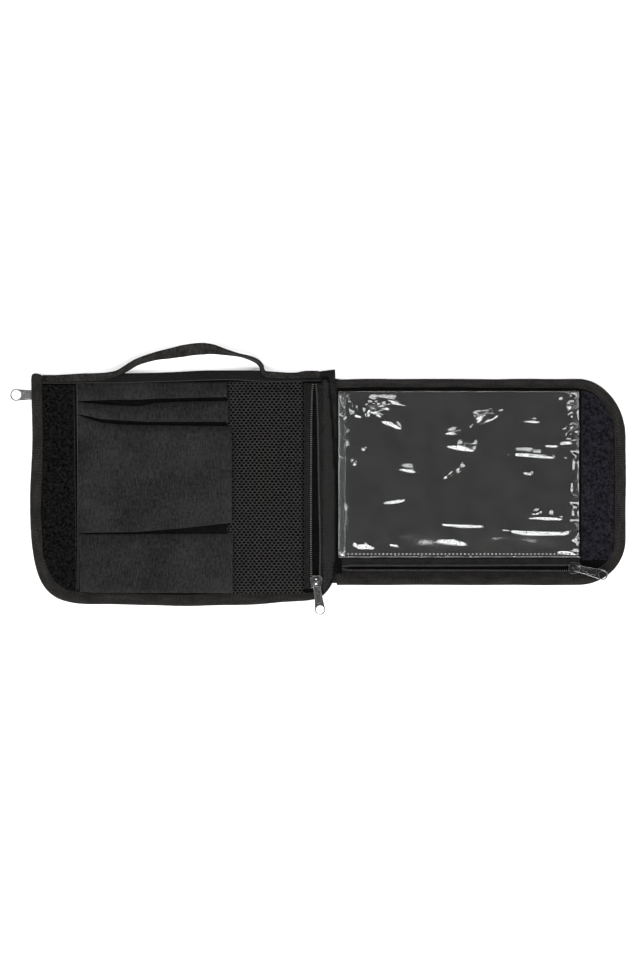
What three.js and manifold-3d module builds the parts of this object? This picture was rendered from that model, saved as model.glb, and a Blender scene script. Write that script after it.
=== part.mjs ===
// A passport holder: a flat organiser case lying open, its back on the table.
// Millimetres, +Z up. The origin is the centre of the main half's back face, +X runs from
// the main half to the cover flap, and +Y runs towards the carrying handle.
import * as THREE from "three";
import { mergeVertices } from "three/addons/utils/BufferGeometryUtils.js";
import Module from "manifold-3d";

const wasm = await Module();
wasm.setup();

// ---- Driving dimensions -------------------------------------------------------------

const CLEAR = 0.3; // gap between pieces that lie on each other
const RADIANS = Math.PI / 180;
const CORNER_STEPS = 12; // straight steps in each rounded corner

// The two halves: outline, and the quarter ellipses [across X, along Y] at the corners.
const MAIN = { x0: -139.5, x1: 138, y0: -107.5, y1: 107.5 };
const MAIN_CORNERS = { bottomLeft: [46.5, 60], bottomRight: [28, 17], topLeft: [4, 4] };
const FLAP = { x0: 144.5, x1: 413.5, y0: -89.3, y1: 102.3 };
const FLAP_CORNERS = { topRight: [44.6, 55.8], bottomRight: [44.6, 42] };

const COVER = 0.5; // woven outer cover
const LINING = 0.5;
const MAIN_CARD = 0.8; // stiffener of the main half
const FLAP_CARD = 0.7;
const LAYER_GAP = 0.1;
const MAIN_BASE = 2.9; // height of the main cover: the back pocket bulges below it
const FLAP_BASE = 0.9;
const LAYER_INSET = 1.5; // the layers end inside the binding's channel

// Binding tape, folded round an edge.
const BINDING = { width: 10.5, flange: 0.6, wall: 1.2 };
const TOP_BAND_DEPTH = 10.5;
const TOP_BAND_START = -128.7;
const TOP_BAND_END = 139.2;

// Sewn-on pockets: caps over the lining, open towards the spine.
const POCKET = { wall: 0.6, cavity: 4.1, slope: 1.2 };
const POCKET_LEFT = -94.6;
const POCKETS = {
  pencil_sleeve: { x1: 43.6, y0: 83.7, y1: 96.6 },
  pen_sleeve: { x1: 44.8, y0: 61.4, y1: 80.9 },
  phone_pocket: { x1: 48.1, y0: -38.1, y1: 59.5 },
  lower_pocket: { x1: 49.0, y0: -96.6, y1: -40.9 },
};
const MESH = { left: 50.5, right: 115.2, shoulder: 7.5, y0: -96.6, y1: 96.6 };
const SIDE_STRIP = { left: 133.5, right: 137.5 };

// Hook-and-loop closure.
const FUZZ = 1.2;
const LOOP_STRIP = { x0: -127.7, x1: -95.2, y0: -97, y1: 96.6 };
const HOOK_STRIP = { x0: 372, x1: 403, y0: -66, y1: 91 };

// Zips: two rows of teeth on tapes, opened rows this far from the centre line.
const ZIP = {
  rowInner: 3.0,
  rowOuter: 4.8,
  row: 1.4,
  tape: 0.6,
  plate: 0.7,
  plateGap: 0.3,
  sliderWidth: 10.8,
  sliderLength: 11,
  postHalf: 2.6,
  postLength: 6,
};
const MESH_ZIP = { centre: 126, z: 8.1, from: -92, to: 98.9, slider: -85.6, lean: 8 };
const FLAP_ZIP = { centre: -73, z: 5.7, from: 150, to: 371, slider: 365.7, lean: 14 };
const BACK_ZIP = { centre: 87.4, z: 1.45, from: -124, to: 124, slider: -122 };
const MESH_TAPE_WIDTH = { left: 5.4, right: 2.1 };
const FLAP_TAPE_WIDTH = { upper: 3.4, lower: 2.6 };
const BACK_TAPE_WIDTH = 7;
const BACK_ROW = 0.8; // the flat coil of the back zip
const BACK_PLATE = 0.5;
const BACK_PLATE_GAP = 0.2;

// The crown on a slider and the pull that turns in it.
const CROWN = { half: 3.2, width: 1.6, post: 1.0, gap: 1.8, beam: 0.7 };
const PULL = {
  thickness: 1.0,
  length: 31,
  root: 3.4,
  ring: 5,
  hole: 3.6,
  slotHalf: 1.9,
  slotFrom: 0.5,
  slotTo: 4.4,
};
const BACK_PULL = { thickness: 0.7, length: 30, root: 4.5, ring: 5.7, hole: 4.4, z: 0.45 };

// Clear pocket and zipped pocket on the flap.
const WINDOW = { x0: 146.3, x1: 371.2, y0: -63.2, y1: 91.1, wall: 0.4, cavity: 4.2 };
const BACKING = { x0: 146.3, x1: 371.2, y0: -64.2, y1: 91, thickness: 0.5 };

// Back pocket: its panel stops short of the zip along its top.
const BACK_PANEL = { inset: 11.5, thickness: 0.6 };
const BACK_SLOT = { x1: 126, half: 12.1 };

// Handle: webbing ends sewn on the top band, and the free loop between them.
const WEBBING = 1.8;
const HANDLE_BOTTOM = 2.4;
const HANDLE_DEPTH = 5;
const HANDLE_END_LEFT = [
  [-123.5, 98.4], [-70.5, 98.4], [-54.5, 107.9], [-61.5, 107.9], [-69.5, 106.9], [-123.5, 106.9],
];
const HANDLE_END_RIGHT = [
  [78, 99.4], [128.5, 99.4], [128.5, 107.2], [78, 107.9], [73.4, 107.9],
];
const LOOP_OUTER = [
  [-61, 108.5], [-52.4, 112.4], [-35.6, 122], [-9.5, 132], [18.6, 136], [46.6, 128.2],
  [65.3, 121.7], [75.5, 117.5], [77.6, 108.5],
];
const LOOP_INNER = [
  [73.6, 108.5], [70.9, 117.5], [55.9, 122.4], [24.2, 124.6], [-9.5, 122], [-37.5, 115.5],
  [-52, 108.5],
];

// Spine: the fabric strip that the case folds on.
const SPINE = { x0: 136.8, x1: 144.2, y0: -88, y1: 96.7, thickness: 0.8 };

// ---- Heights worked out from them ---------------------------------------------------

const mainCardZ = MAIN_BASE + COVER + LAYER_GAP;
const mainLiningZ = mainCardZ + MAIN_CARD + LAYER_GAP;
const mainTop = mainLiningZ + LINING;
const flapCardZ = FLAP_BASE + COVER + LAYER_GAP;
const flapLiningZ = flapCardZ + FLAP_CARD + LAYER_GAP;
const flapTop = flapLiningZ + LINING;
const pocketFloor = mainTop + CLEAR;
const pocketTop = pocketFloor + POCKET.cavity + POCKET.wall;

// ---- Geometry helpers ---------------------------------------------------------------

// A rectangle with elliptical corners, moved in by inset all round.
function panelShape(box, corners = {}, inset = 0) {
  const x0 = box.x0 + inset;
  const x1 = box.x1 - inset;
  const y0 = box.y0 + inset;
  const y1 = box.y1 - inset;
  const points = [];
  const corner = (radii, x, y, sx, sy, start) => {
    if (!radii || radii[0] <= inset || radii[1] <= inset) {
      points.push(new THREE.Vector2(x, y));
      return;
    }
    const [rx, ry] = radii.map((r) => r - inset);
    for (let i = 0; i <= CORNER_STEPS; i++) {
      const angle = start + ((i / CORNER_STEPS) * Math.PI) / 2;
      const dx = rx * (sx + Math.cos(angle));
      const dy = ry * (sy + Math.sin(angle));
      points.push(new THREE.Vector2(x + dx, y + dy));
    }
  };
  corner(corners.bottomLeft, x0, y0, 1, 1, Math.PI);
  corner(corners.bottomRight, x1, y0, -1, 1, 1.5 * Math.PI);
  corner(corners.topRight, x1, y1, -1, -1, 0);
  corner(corners.topLeft, x0, y1, 1, -1, 0.5 * Math.PI);
  return new THREE.Shape(points);
}

const polygon = (points) => new THREE.Shape(points.map(([x, y]) => new THREE.Vector2(x, y)));

function plate(shape, z0, z1) {
  const options = { depth: z1 - z0, bevelEnabled: false, curveSegments: 8 };
  return new THREE.ExtrudeGeometry(shape, options).translate(0, 0, z0);
}

function box(x0, x1, y0, y1, z0, z1) {
  const g = new THREE.BoxGeometry(x1 - x0, y1 - y0, z1 - z0);
  return g.translate((x0 + x1) / 2, (y0 + y1) / 2, (z0 + z1) / 2);
}

// A section in (Y, Z) drawn along X, and a section in (X, Z) drawn along Y.
const alongX = (section, x0, x1) =>
  plate(polygon(section), x0, x1).rotateX(Math.PI / 2).rotateZ(Math.PI / 2);
const alongY = (section, y0, y1) => plate(polygon(section), -y1, -y0).rotateX(Math.PI / 2);

function solid(geometry) {
  const g = geometry.clone();
  g.deleteAttribute("normal");
  g.deleteAttribute("uv");
  const merged = mergeVertices(g, 1e-4);
  return new wasm.Manifold(
    new wasm.Mesh({
      numProp: 3,
      vertProperties: merged.attributes.position.array,
      triVerts: new Uint32Array(merged.index.array),
    }),
  );
}

function surface(body) {
  const { vertProperties, triVerts } = body.getMesh();
  const g = new THREE.BufferGeometry();
  g.setAttribute("position", new THREE.BufferAttribute(vertProperties, 3));
  g.setIndex(new THREE.BufferAttribute(triVerts, 1));
  return g;
}

const cut = (geometry, ...tools) =>
  surface(tools.reduce((body, tool) => body.subtract(solid(tool)), solid(geometry)));
const join = (...parts) => surface(parts.map(solid).reduce((a, b) => a.add(b)));
const common = (a, b) => surface(solid(a).intersect(solid(b)));

// ---- Materials ----------------------------------------------------------------------

const material = (color, roughness, metalness = 0) => ({ color, roughness, metalness });
const LOOKS = {
  cover: material(0x1c1c1c, 0.95),
  lining: material(0x18181a, 0.9),
  card: material(0x8a8175, 0.9),
  binding: material(0x322e2a, 0.9),
  pocket: material(0x30302f, 0.9),
  mesh: material(0x414141, 0.85),
  fuzz: material(0x121214, 1.0),
  tape: material(0x1e1e1f, 0.9),
  teeth: material(0x3c3c3c, 0.5),
  nickel: material(0xd0d0d2, 0.25, 1),
  gunmetal: material(0x6a6a6a, 0.35, 1),
  vinyl: material(0xbfc4c8, 0.1),
};

const group = new THREE.Group();

function add(name, geometry, look) {
  const mesh = new THREE.Mesh(geometry, new THREE.MeshStandardMaterial(LOOKS[look]));
  if (look === "vinyl") {
    mesh.material.transparent = true;
    mesh.material.opacity = 0.35;
  }
  mesh.name = name;
  group.add(mesh);
}

// ---- The two halves -----------------------------------------------------------------

// Three layers that end inside the binding.
function layers(names, outline, corners, heights, thicknesses) {
  const shape = () => panelShape(outline, corners, LAYER_INSET);
  const looks = ["cover", "card", "lining"];
  names.forEach((name, i) =>
    add(name, plate(shape(), heights[i], heights[i] + thicknesses[i]), looks[i]),
  );
}

// A tape folded round the outline: outer wall, and a flange above and below the layers.
function channel(outline, corners, bottom, top) {
  const { width, flange, wall } = BINDING;
  return cut(
    plate(panelShape(outline, corners), bottom, top),
    plate(panelShape(outline, corners, wall), bottom + flange, top - flange),
    plate(panelShape(outline, corners, width), bottom - 1, top + 1),
  );
}

const mainEdge = { bottom: MAIN_BASE - CLEAR - BINDING.flange, top: mainTop + CLEAR + BINDING.flange };
const flapEdge = { bottom: FLAP_BASE - CLEAR - BINDING.flange, top: flapTop + CLEAR + BINDING.flange };

layers(
  ["main_back_cover", "main_stiffener", "main_lining"],
  MAIN,
  MAIN_CORNERS,
  [MAIN_BASE, mainCardZ, mainLiningZ],
  [COVER, MAIN_CARD, LINING],
);
layers(
  ["flap_back_cover", "flap_stiffener", "flap_lining"],
  FLAP,
  FLAP_CORNERS,
  [FLAP_BASE, flapCardZ, flapLiningZ],
  [COVER, FLAP_CARD, LINING],
);

// The main binding runs down the left side and along the bottom, round both low corners.
const bandFrom = MAIN.y1 - TOP_BAND_DEPTH;
const ringInnerBottom = MAIN.y0 + BINDING.width;
add(
  "main_binding",
  cut(
    channel(MAIN, MAIN_CORNERS, mainEdge.bottom, mainEdge.top),
    box(MAIN.x0 + BINDING.width, MAIN.x1 + 1, bandFrom - CLEAR, MAIN.y1 + 1, 0, 10),
    box(MAIN.x1 - BINDING.width - CLEAR, MAIN.x1 + 1, ringInnerBottom, MAIN.y1 + 1, 0, 10),
  ),
  "binding",
);

// The flap binding runs round its three free sides.
add(
  "flap_binding",
  cut(
    channel(FLAP, FLAP_CORNERS, flapEdge.bottom, flapEdge.top),
    box(
      FLAP.x0 - 1,
      FLAP.x0 + BINDING.width + 1,
      FLAP.y0 + BINDING.width,
      FLAP.y1 - BINDING.width,
      -1,
      10,
    ),
    box(FLAP.x0 - 1, FLAP.x0 + BINDING.wall, FLAP.y0 - 1, FLAP.y1 + 1, -1, 10),
  ),
  "binding",
);

// The top band is folded over the main half's top edge.
const { bottom: bandBottom, top: bandTop } = mainEdge;
add(
  "top_band",
  alongX(
    [
      [bandFrom, bandBottom],
      [MAIN.y1, bandBottom],
      [MAIN.y1, bandTop],
      [bandFrom, bandTop],
      [bandFrom, bandTop - BINDING.flange],
      [MAIN.y1 - BINDING.wall, bandTop - BINDING.flange],
      [MAIN.y1 - BINDING.wall, bandBottom + BINDING.flange],
      [bandFrom, bandBottom + BINDING.flange],
    ],
    TOP_BAND_START,
    TOP_BAND_END,
  ),
  "lining",
);

// The spine joins the layers of the two halves.
const spineLow = flapLiningZ - SPINE.thickness;
const spineHigh = mainLiningZ - SPINE.thickness;
add(
  "spine",
  alongY(
    [
      [SPINE.x0, spineHigh],
      [SPINE.x1, spineLow],
      [SPINE.x1, spineLow + SPINE.thickness],
      [SPINE.x0, spineHigh + SPINE.thickness],
    ],
    SPINE.y0,
    SPINE.y1,
  ),
  "cover",
);

// ---- Back pocket --------------------------------------------------------------------

const slotLow = BACK_ZIP.centre - BACK_SLOT.half;
const slotHigh = BACK_ZIP.centre + BACK_SLOT.half;
add(
  "back_pocket_panel",
  cut(
    plate(panelShape(MAIN, MAIN_CORNERS, BACK_PANEL.inset), 0, BACK_PANEL.thickness),
    box(MAIN.x0, BACK_SLOT.x1, slotLow, MAIN.y1, -1, 2),
  ),
  "cover",
);

// ---- Zips ---------------------------------------------------------------------------

// A zip is drawn lying along Y with its centre line on x = 0, then turned and placed.
const alongZip = (geometry, zip) =>
  zip === MESH_ZIP
    ? geometry.translate(zip.centre, 0, zip.z)
    : geometry.rotateZ(-Math.PI / 2).translate(0, zip.centre, zip.z);

// The bar of teeth and the tape on one side, side = -1 or +1 across the zip.
function zipSide(zip, side, tapeName, teethName, tapeWidth, row = ZIP.row) {
  const inner = side * ZIP.rowInner;
  const outer = side * ZIP.rowOuter;
  const edge = outer + side * CLEAR;
  const far = edge + side * tapeWidth;
  const span = (a, b, half) =>
    alongZip(box(Math.min(a, b), Math.max(a, b), zip.from, zip.to, -half, half), zip);
  add(teethName, span(inner, outer, row / 2), "teeth");
  add(tapeName, span(edge, far, ZIP.tape / 2), "tape");
}

zipSide(MESH_ZIP, -1, "mesh_zip_tape_left", "mesh_zip_teeth_left", MESH_TAPE_WIDTH.left);
zipSide(MESH_ZIP, 1, "mesh_zip_tape_right", "mesh_zip_teeth_right", MESH_TAPE_WIDTH.right);
zipSide(FLAP_ZIP, 1, "flap_zip_tape_lower", "flap_zip_teeth_lower", FLAP_TAPE_WIDTH.lower);
zipSide(FLAP_ZIP, -1, "flap_zip_tape_upper", "flap_zip_teeth_upper", FLAP_TAPE_WIDTH.upper);
zipSide(BACK_ZIP, 1, "back_zip_tape_lower", "back_zip_teeth_lower", BACK_TAPE_WIDTH, BACK_ROW);
zipSide(BACK_ZIP, -1, "back_zip_tape_upper", "back_zip_teeth_upper", BACK_TAPE_WIDTH, BACK_ROW);

// Two plates joined by a post that runs between the rows, centred on the zip's plane.
function sliderBody(row, plateThickness, gap) {
  const inner = row / 2 + gap;
  const outer = inner + plateThickness;
  const w = ZIP.sliderWidth / 2;
  const l = ZIP.sliderLength / 2;
  const post = ZIP.postLength / 2;
  return [
    box(-w, w, -l, l, inner, outer),
    box(-w, w, -l, l, -outer, -inner),
    box(-ZIP.postHalf, ZIP.postHalf, -post, post, -outer, outer),
  ];
}

const sliderTop = ZIP.row / 2 + ZIP.plateGap + ZIP.plate;
const pivotHeight = sliderTop + CROWN.gap / 2;

function crownedSlider() {
  const { half, width, post, gap, beam } = CROWN;
  const w = width / 2;
  const under = sliderTop + gap;
  return join(
    ...sliderBody(ZIP.row, ZIP.plate, ZIP.plateGap),
    box(-w, w, -half, half, under, under + beam),
    box(-w, w, -half, -half + post, sliderTop - 0.1, under + beam),
    box(-w, w, half - post, half, sliderTop - 0.1, under + beam),
  );
}

// A pull from its pivot along -Y: a plate that widens to a ring, with a slot at the root.
function pullOutline({ length, root, ring, hole }) {
  const shape = new THREE.Shape();
  const centre = -(length - ring);
  const waist = 12;
  shape.moveTo(root, PULL.slotFrom);
  shape.lineTo(-root, PULL.slotFrom);
  shape.lineTo(-root, -waist);
  shape.lineTo(-ring, centre + 1);
  shape.absarc(0, centre, ring, Math.PI, 2 * Math.PI, false);
  shape.lineTo(root, -waist);
  shape.closePath();
  const opening = new THREE.Path();
  opening.absarc(0, centre, hole, 0, 2 * Math.PI, true);
  shape.holes.push(opening);
  return shape;
}

function pull() {
  const shape = pullOutline(PULL);
  const half = PULL.thickness / 2;
  const { slotHalf, slotFrom, slotTo } = PULL;
  return cut(plate(shape, -half, half), box(-slotHalf, slotHalf, -slotTo, -slotFrom, -2, 2));
}

const meshSliderAt = [MESH_ZIP.centre, MESH_ZIP.slider, MESH_ZIP.z];
const flapSliderAt = [FLAP_ZIP.slider, FLAP_ZIP.centre, FLAP_ZIP.z];
add("mesh_zip_slider", crownedSlider().translate(...meshSliderAt), "nickel");
add(
  "mesh_zip_pull",
  pull().rotateZ(MESH_ZIP.lean * RADIANS).translate(0, 0, pivotHeight).translate(...meshSliderAt),
  "gunmetal",
);
add(
  "flap_zip_slider",
  crownedSlider().rotateZ(Math.PI / 2).translate(...flapSliderAt),
  "gunmetal",
);
add(
  "flap_zip_pull",
  pull()
    .rotateZ(Math.PI / 2 - FLAP_ZIP.lean * RADIANS)
    .translate(0, 0, pivotHeight)
    .translate(...flapSliderAt),
  "gunmetal",
);

// The back slider is flat, with its pull on its end so that the case lies flat on it.
const backHalf = ZIP.sliderLength / 2;
add(
  "back_zip_slider",
  join(...sliderBody(BACK_ROW, BACK_PLATE, BACK_PLATE_GAP))
    .rotateZ(-Math.PI / 2)
    .translate(BACK_ZIP.slider, BACK_ZIP.centre, BACK_ZIP.z),
  "gunmetal",
);
add(
  "back_zip_pull",
  plate(pullOutline(BACK_PULL), -BACK_PULL.thickness / 2, BACK_PULL.thickness / 2)
    .rotateZ(-Math.PI / 2)
    .translate(BACK_ZIP.slider - backHalf - 2 * PULL.slotFrom, BACK_ZIP.centre, BACK_PULL.z),
  "gunmetal",
);

// ---- Pockets on the main half -------------------------------------------------------

// A cap with sloping long sides, closed at the left and open at the right and below.
function pocket({ x1, y0, y1 }) {
  const { wall, slope } = POCKET;
  const section = (inset, low, high) => [
    [y0 + inset, low],
    [y1 - inset, low],
    [y1 - inset - slope, high],
    [y0 + inset + slope, high],
  ];
  return cut(
    alongX(section(0, pocketFloor, pocketTop), POCKET_LEFT, x1),
    alongX(section(wall, pocketFloor - 0.01, pocketTop - wall), POCKET_LEFT + wall, x1 + 1),
    box(POCKET_LEFT + wall, x1 + 1, y0 + wall, y1 - wall, pocketFloor - 1, pocketFloor + 0.01),
  );
}

for (const [name, size] of Object.entries(POCKETS)) add(name, pocket(size), "pocket");

// The mesh pocket rises from the lining, lies flat, and comes down to the zip tape.
const meshEdge = MESH_ZIP.z - ZIP.tape / 2;
const meshProfile = (inset) => [
  [MESH.left + 2 * inset, pocketFloor - inset],
  [MESH.right + inset, pocketFloor - inset],
  [MESH.right + inset, meshEdge + ZIP.tape - inset],
  [MESH.right - MESH.shoulder, pocketTop - inset],
  [MESH.left + MESH.shoulder + inset / 2, pocketTop - inset],
];
add(
  "mesh_panel",
  cut(
    alongY(meshProfile(0), MESH.y0, MESH.y1),
    alongY(meshProfile(POCKET.wall), MESH.y0 + POCKET.wall, MESH.y1 - POCKET.wall),
  ),
  "mesh",
);
add(
  "mesh_side_strip",
  alongY(
    [
      [SIDE_STRIP.left, meshEdge],
      [SIDE_STRIP.left, meshEdge + ZIP.tape],
      [SIDE_STRIP.right, pocketFloor + ZIP.tape],
      [SIDE_STRIP.right, pocketFloor],
    ],
    MESH.y0,
    MESH.y1,
  ),
  "mesh",
);

// ---- Closure strips -----------------------------------------------------------------

// A strip on the lining, kept inside the binding's inner edge.
const strip = (size, outline, corners, floor) =>
  common(
    box(size.x0, size.x1, size.y0, size.y1, floor, floor + FUZZ),
    plate(panelShape(outline, corners, BINDING.width + CLEAR), floor - 1, floor + 2 * FUZZ),
  );
add("loop_strip", strip(LOOP_STRIP, MAIN, MAIN_CORNERS, pocketFloor), "fuzz");
add("hook_strip", strip(HOOK_STRIP, FLAP, FLAP_CORNERS, flapTop + CLEAR), "fuzz");

// ---- Flap pockets -------------------------------------------------------------------

const backingZ = flapTop + CLEAR;
add(
  "flap_pocket_backing",
  box(BACKING.x0, BACKING.x1, BACKING.y0, BACKING.y1, backingZ, backingZ + BACKING.thickness),
  "lining",
);

// The clear pocket is a cap, open at the top edge.
const windowZ = backingZ + BACKING.thickness + CLEAR;
const windowTop = windowZ + WINDOW.cavity + WINDOW.wall;
add(
  "clear_window",
  cut(
    box(WINDOW.x0, WINDOW.x1, WINDOW.y0, WINDOW.y1, windowZ, windowTop),
    box(
      WINDOW.x0 + WINDOW.wall,
      WINDOW.x1 - WINDOW.wall,
      WINDOW.y0 + WINDOW.wall,
      WINDOW.y1 + 1,
      windowZ - 1,
      windowTop - WINDOW.wall,
    ),
  ),
  "vinyl",
);

// ---- Handle -------------------------------------------------------------------------

const endZ = bandTop + CLEAR;
add("handle_end_left", plate(polygon(HANDLE_END_LEFT), endZ, endZ + WEBBING), "binding");
add("handle_end_right", plate(polygon(HANDLE_END_RIGHT), endZ, endZ + WEBBING), "binding");
add(
  "handle_strap",
  plate(
    polygon([...LOOP_OUTER, ...LOOP_INNER].reverse()),
    HANDLE_BOTTOM,
    HANDLE_BOTTOM + HANDLE_DEPTH,
  ),
  "binding",
);

export default group;
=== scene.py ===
import math

import bpy
import numpy as np
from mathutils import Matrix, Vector


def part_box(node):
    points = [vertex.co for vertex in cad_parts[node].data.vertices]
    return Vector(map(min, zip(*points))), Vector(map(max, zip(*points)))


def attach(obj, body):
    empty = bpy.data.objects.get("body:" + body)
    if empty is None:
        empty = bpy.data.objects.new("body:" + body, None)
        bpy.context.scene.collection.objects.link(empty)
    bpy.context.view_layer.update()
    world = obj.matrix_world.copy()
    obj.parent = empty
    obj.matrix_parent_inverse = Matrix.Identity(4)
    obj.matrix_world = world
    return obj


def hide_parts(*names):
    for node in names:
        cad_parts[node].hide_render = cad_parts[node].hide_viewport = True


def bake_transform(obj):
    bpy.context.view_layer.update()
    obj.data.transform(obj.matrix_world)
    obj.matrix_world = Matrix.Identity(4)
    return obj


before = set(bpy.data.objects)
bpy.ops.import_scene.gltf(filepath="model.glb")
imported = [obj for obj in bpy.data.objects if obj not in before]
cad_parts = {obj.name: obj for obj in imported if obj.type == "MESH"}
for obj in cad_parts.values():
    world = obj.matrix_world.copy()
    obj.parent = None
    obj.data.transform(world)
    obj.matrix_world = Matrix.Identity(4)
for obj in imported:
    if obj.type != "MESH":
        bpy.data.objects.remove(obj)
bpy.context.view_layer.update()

MM = 0.001
RNG = np.random.default_rng(11)


# ---- Sizes taken from the frame ----


def span(node):
    """A node's lowest and highest corners, in millimetres."""
    low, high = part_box(node)
    return np.array(low) / MM, np.array(high) / MM


main_low, main_high = span("main_binding")
band_low, band_high = span("top_band")
flap_low, flap_high = span("flap_binding")
MAIN = (main_low[0], band_high[0] - 1.2, main_low[1], main_high[1])
FLAP = (flap_low[0] - 1.2, flap_high[0], flap_low[1], flap_high[1])
# Quarter ellipses at the corners, across X and along Y: bottom left, bottom right,
# top right, top left.
MAIN_CORNERS = ((46.5, 60), (28, 17), (0, 0), (4, 4))
FLAP_CORNERS = ((0, 0), (44.6, 42), (44.6, 55.8), (0, 0))
# The flap's cloth layers reach the fold at their left.
FLAP_SHEET = (FLAP[0] - 3.0, *FLAP[1:])
MAIN_FLOOR = span("main_lining")[1][2]
EDGE_BOTTOM, EDGE_TOP = main_low[2], main_high[2]
FLAP_TOP = flap_high[2]


# ---- Noise and small helpers ----


def smooth(x, low, high):
    """0 below low, 1 above high, and a soft step between them."""
    t = np.clip((np.asarray(x, float) - low) / (high - low), 0, 1)
    return t * t * (3 - 2 * t)


class Noise:
    """Soft waves that never repeat: a sum of sines in seeded directions."""

    def __init__(self, seed, size_x, size_y=None, waves=9):
        rng = np.random.default_rng(seed)
        angle = rng.uniform(0, 2 * math.pi, waves)
        pitch = rng.uniform(0.7, 1.6, waves)
        self.kx = 2 * math.pi * np.cos(angle) / pitch / size_x
        self.ky = 2 * math.pi * np.sin(angle) / pitch / (size_y or size_x)
        self.phase = rng.uniform(0, 2 * math.pi, waves)
        self.scale = 1 / math.sqrt(waves)

    def __call__(self, x, y):
        x, y = np.asarray(x, float)[..., None], np.asarray(y, float)[..., None]
        return np.sin(x * self.kx + y * self.ky + self.phase).sum(-1) * self.scale


def unit(vectors, least=0.0):
    """Each vector at length 1."""
    return vectors / (np.linalg.norm(vectors, axis=-1, keepdims=True) + least)


def to_left(way):
    """The level direction to the left of each direction."""
    return np.stack([-way[:, 1], way[:, 0], np.zeros(len(way))], 1)


def level_line(x, y, z):
    """Points at one height."""
    return np.column_stack([x, y, np.full(len(x), z)])


def soften(values, reach):
    """A list of values, each averaged with its neighbours up to reach steps away."""
    kernel = np.hanning(2 * reach + 1)
    return np.convolve(np.pad(values, reach, "edge"), kernel / kernel.sum(), "valid")


def along(points):
    """The distance walked along a line of points."""
    steps = np.linalg.norm(np.diff(points, axis=0), axis=1)
    return np.concatenate([[0], np.cumsum(steps)])


def resample(points, step):
    """The same line with even steps."""
    points = np.asarray(points, float)
    length = along(points)
    count = max(int(round(length[-1] / step)), 1) + 1
    at = np.linspace(0, length[-1], count)
    return np.stack([np.interp(at, length, c) for c in points.T], 1)


def curve_through(points, step):
    """A smooth line through given points (Catmull-Rom), with even steps."""
    p = np.asarray(points, float)
    p = np.vstack([2 * p[0] - p[1], p, 2 * p[-1] - p[-2]])
    t = np.linspace(0, 1, 12, endpoint=False)[:, None]
    parts = []
    for a, b, c, d in zip(p, p[1:], p[2:], p[3:]):
        parts.append(
            0.5 * (2 * b + (c - a) * t + (2 * a - 5 * b + 4 * c - d) * t**2
                   + (3 * b - a - 3 * c + d) * t**3)
        )
    return resample(np.vstack(parts + [p[-2:-1]]), step)


# ---- Shapes as (points, faces, uv) ----


def add(name, data):
    """A new object in the scene."""
    made = bpy.data.objects.new(name, data)
    bpy.context.scene.collection.objects.link(made)
    return made


def join(*shapes):
    """Several shapes as one."""
    points, faces, uvs, start = [], [], [], 0
    for p, f, uv in shapes:
        points.append(p)
        uvs.append(uv if uv is not None else np.zeros((len(p), 2)))
        faces += [[i + start for i in face] for face in f]
        start += len(p)
    return np.vstack(points), faces, np.vstack(uvs)


def grid_faces(rows, cols, start=0, flip=False):
    """Quads between the neighbours of a grid of points."""
    i = (np.arange(rows - 1)[:, None] * cols + np.arange(cols - 1)[None, :]).ravel() + start
    quads = np.stack([i, i + 1, i + cols + 1, i + cols], 1)
    return (quads[:, ::-1] if flip else quads).tolist()


def tube_faces(rings, sides):
    """Quads between rings of points that follow each other."""
    return [[a + j, a + (j + 1) % sides, a + sides + (j + 1) % sides, a + sides + j]
            for a in range(0, (rings - 1) * sides, sides) for j in range(sides)]


def end_faces(rings, sides):
    """The caps of a row of rings."""
    return [list(range(sides))[::-1], list(range((rings - 1) * sides, rings * sides))]


def repeated(faces, copies, step):
    """The same faces for each copy of a shape that has step points."""
    return [[i + m * step for i in face] for m in range(copies) for face in faces]


def shell(surface, thickness):
    """A closed thin sheet from a grid of points: rows run along +Y and columns along +X."""
    rows, cols, _ = surface.shape
    normal = unit(np.cross(np.gradient(surface, axis=1), np.gradient(surface, axis=0)), 1e-12)
    count = rows * cols
    index = np.arange(count).reshape(rows, cols)
    rim = np.concatenate([index[0], index[1:, -1], index[-1, -2::-1], index[-2:0:-1, 0]])
    after = np.roll(rim, -1)
    sides = np.stack([rim, rim + count, after + count, after], 1).tolist()
    faces = grid_faces(rows, cols) + grid_faces(rows, cols, count, flip=True) + sides
    points = np.stack([surface, surface - normal * thickness]).reshape(-1, 3)
    uv = np.tile(surface[..., :2].reshape(-1, 2), (2, 1))
    return points, faces, uv


def sweep(path, section, lateral=None):
    """A closed section (left of the path, up), drawn along a path. The section may change
    from point to point. lateral gives the sideways direction where it isn't level."""
    path = np.asarray(path, float)
    section = np.asarray(section, float)
    if section.ndim == 2:
        section = np.broadcast_to(section, (len(path), *section.shape))
    tangent = unit(np.gradient(path, axis=0))
    lateral = unit(to_left(tangent) if lateral is None else lateral)
    up = np.cross(tangent, lateral)
    points = path[:, None] + lateral[:, None] * section[..., :1] + up[:, None] * section[..., 1:]
    rings, sides = section.shape[:2]
    uv = np.stack(np.meshgrid(along(path), along(section[0]), indexing="ij"), -1)
    faces = tube_faces(rings, sides) + end_faces(rings, sides)
    return points.reshape(-1, 3), faces, uv.reshape(-1, 2)


def rod(path, radius, sides):
    """A round rod along a path. Two radii make it an oval, across and up."""
    angle = np.arange(sides) * 2 * math.pi / sides
    across, up = np.broadcast_to(radius, 2)
    return sweep(path, np.stack([across * np.cos(angle), -up * np.sin(angle)], 1)[::-1])


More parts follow.
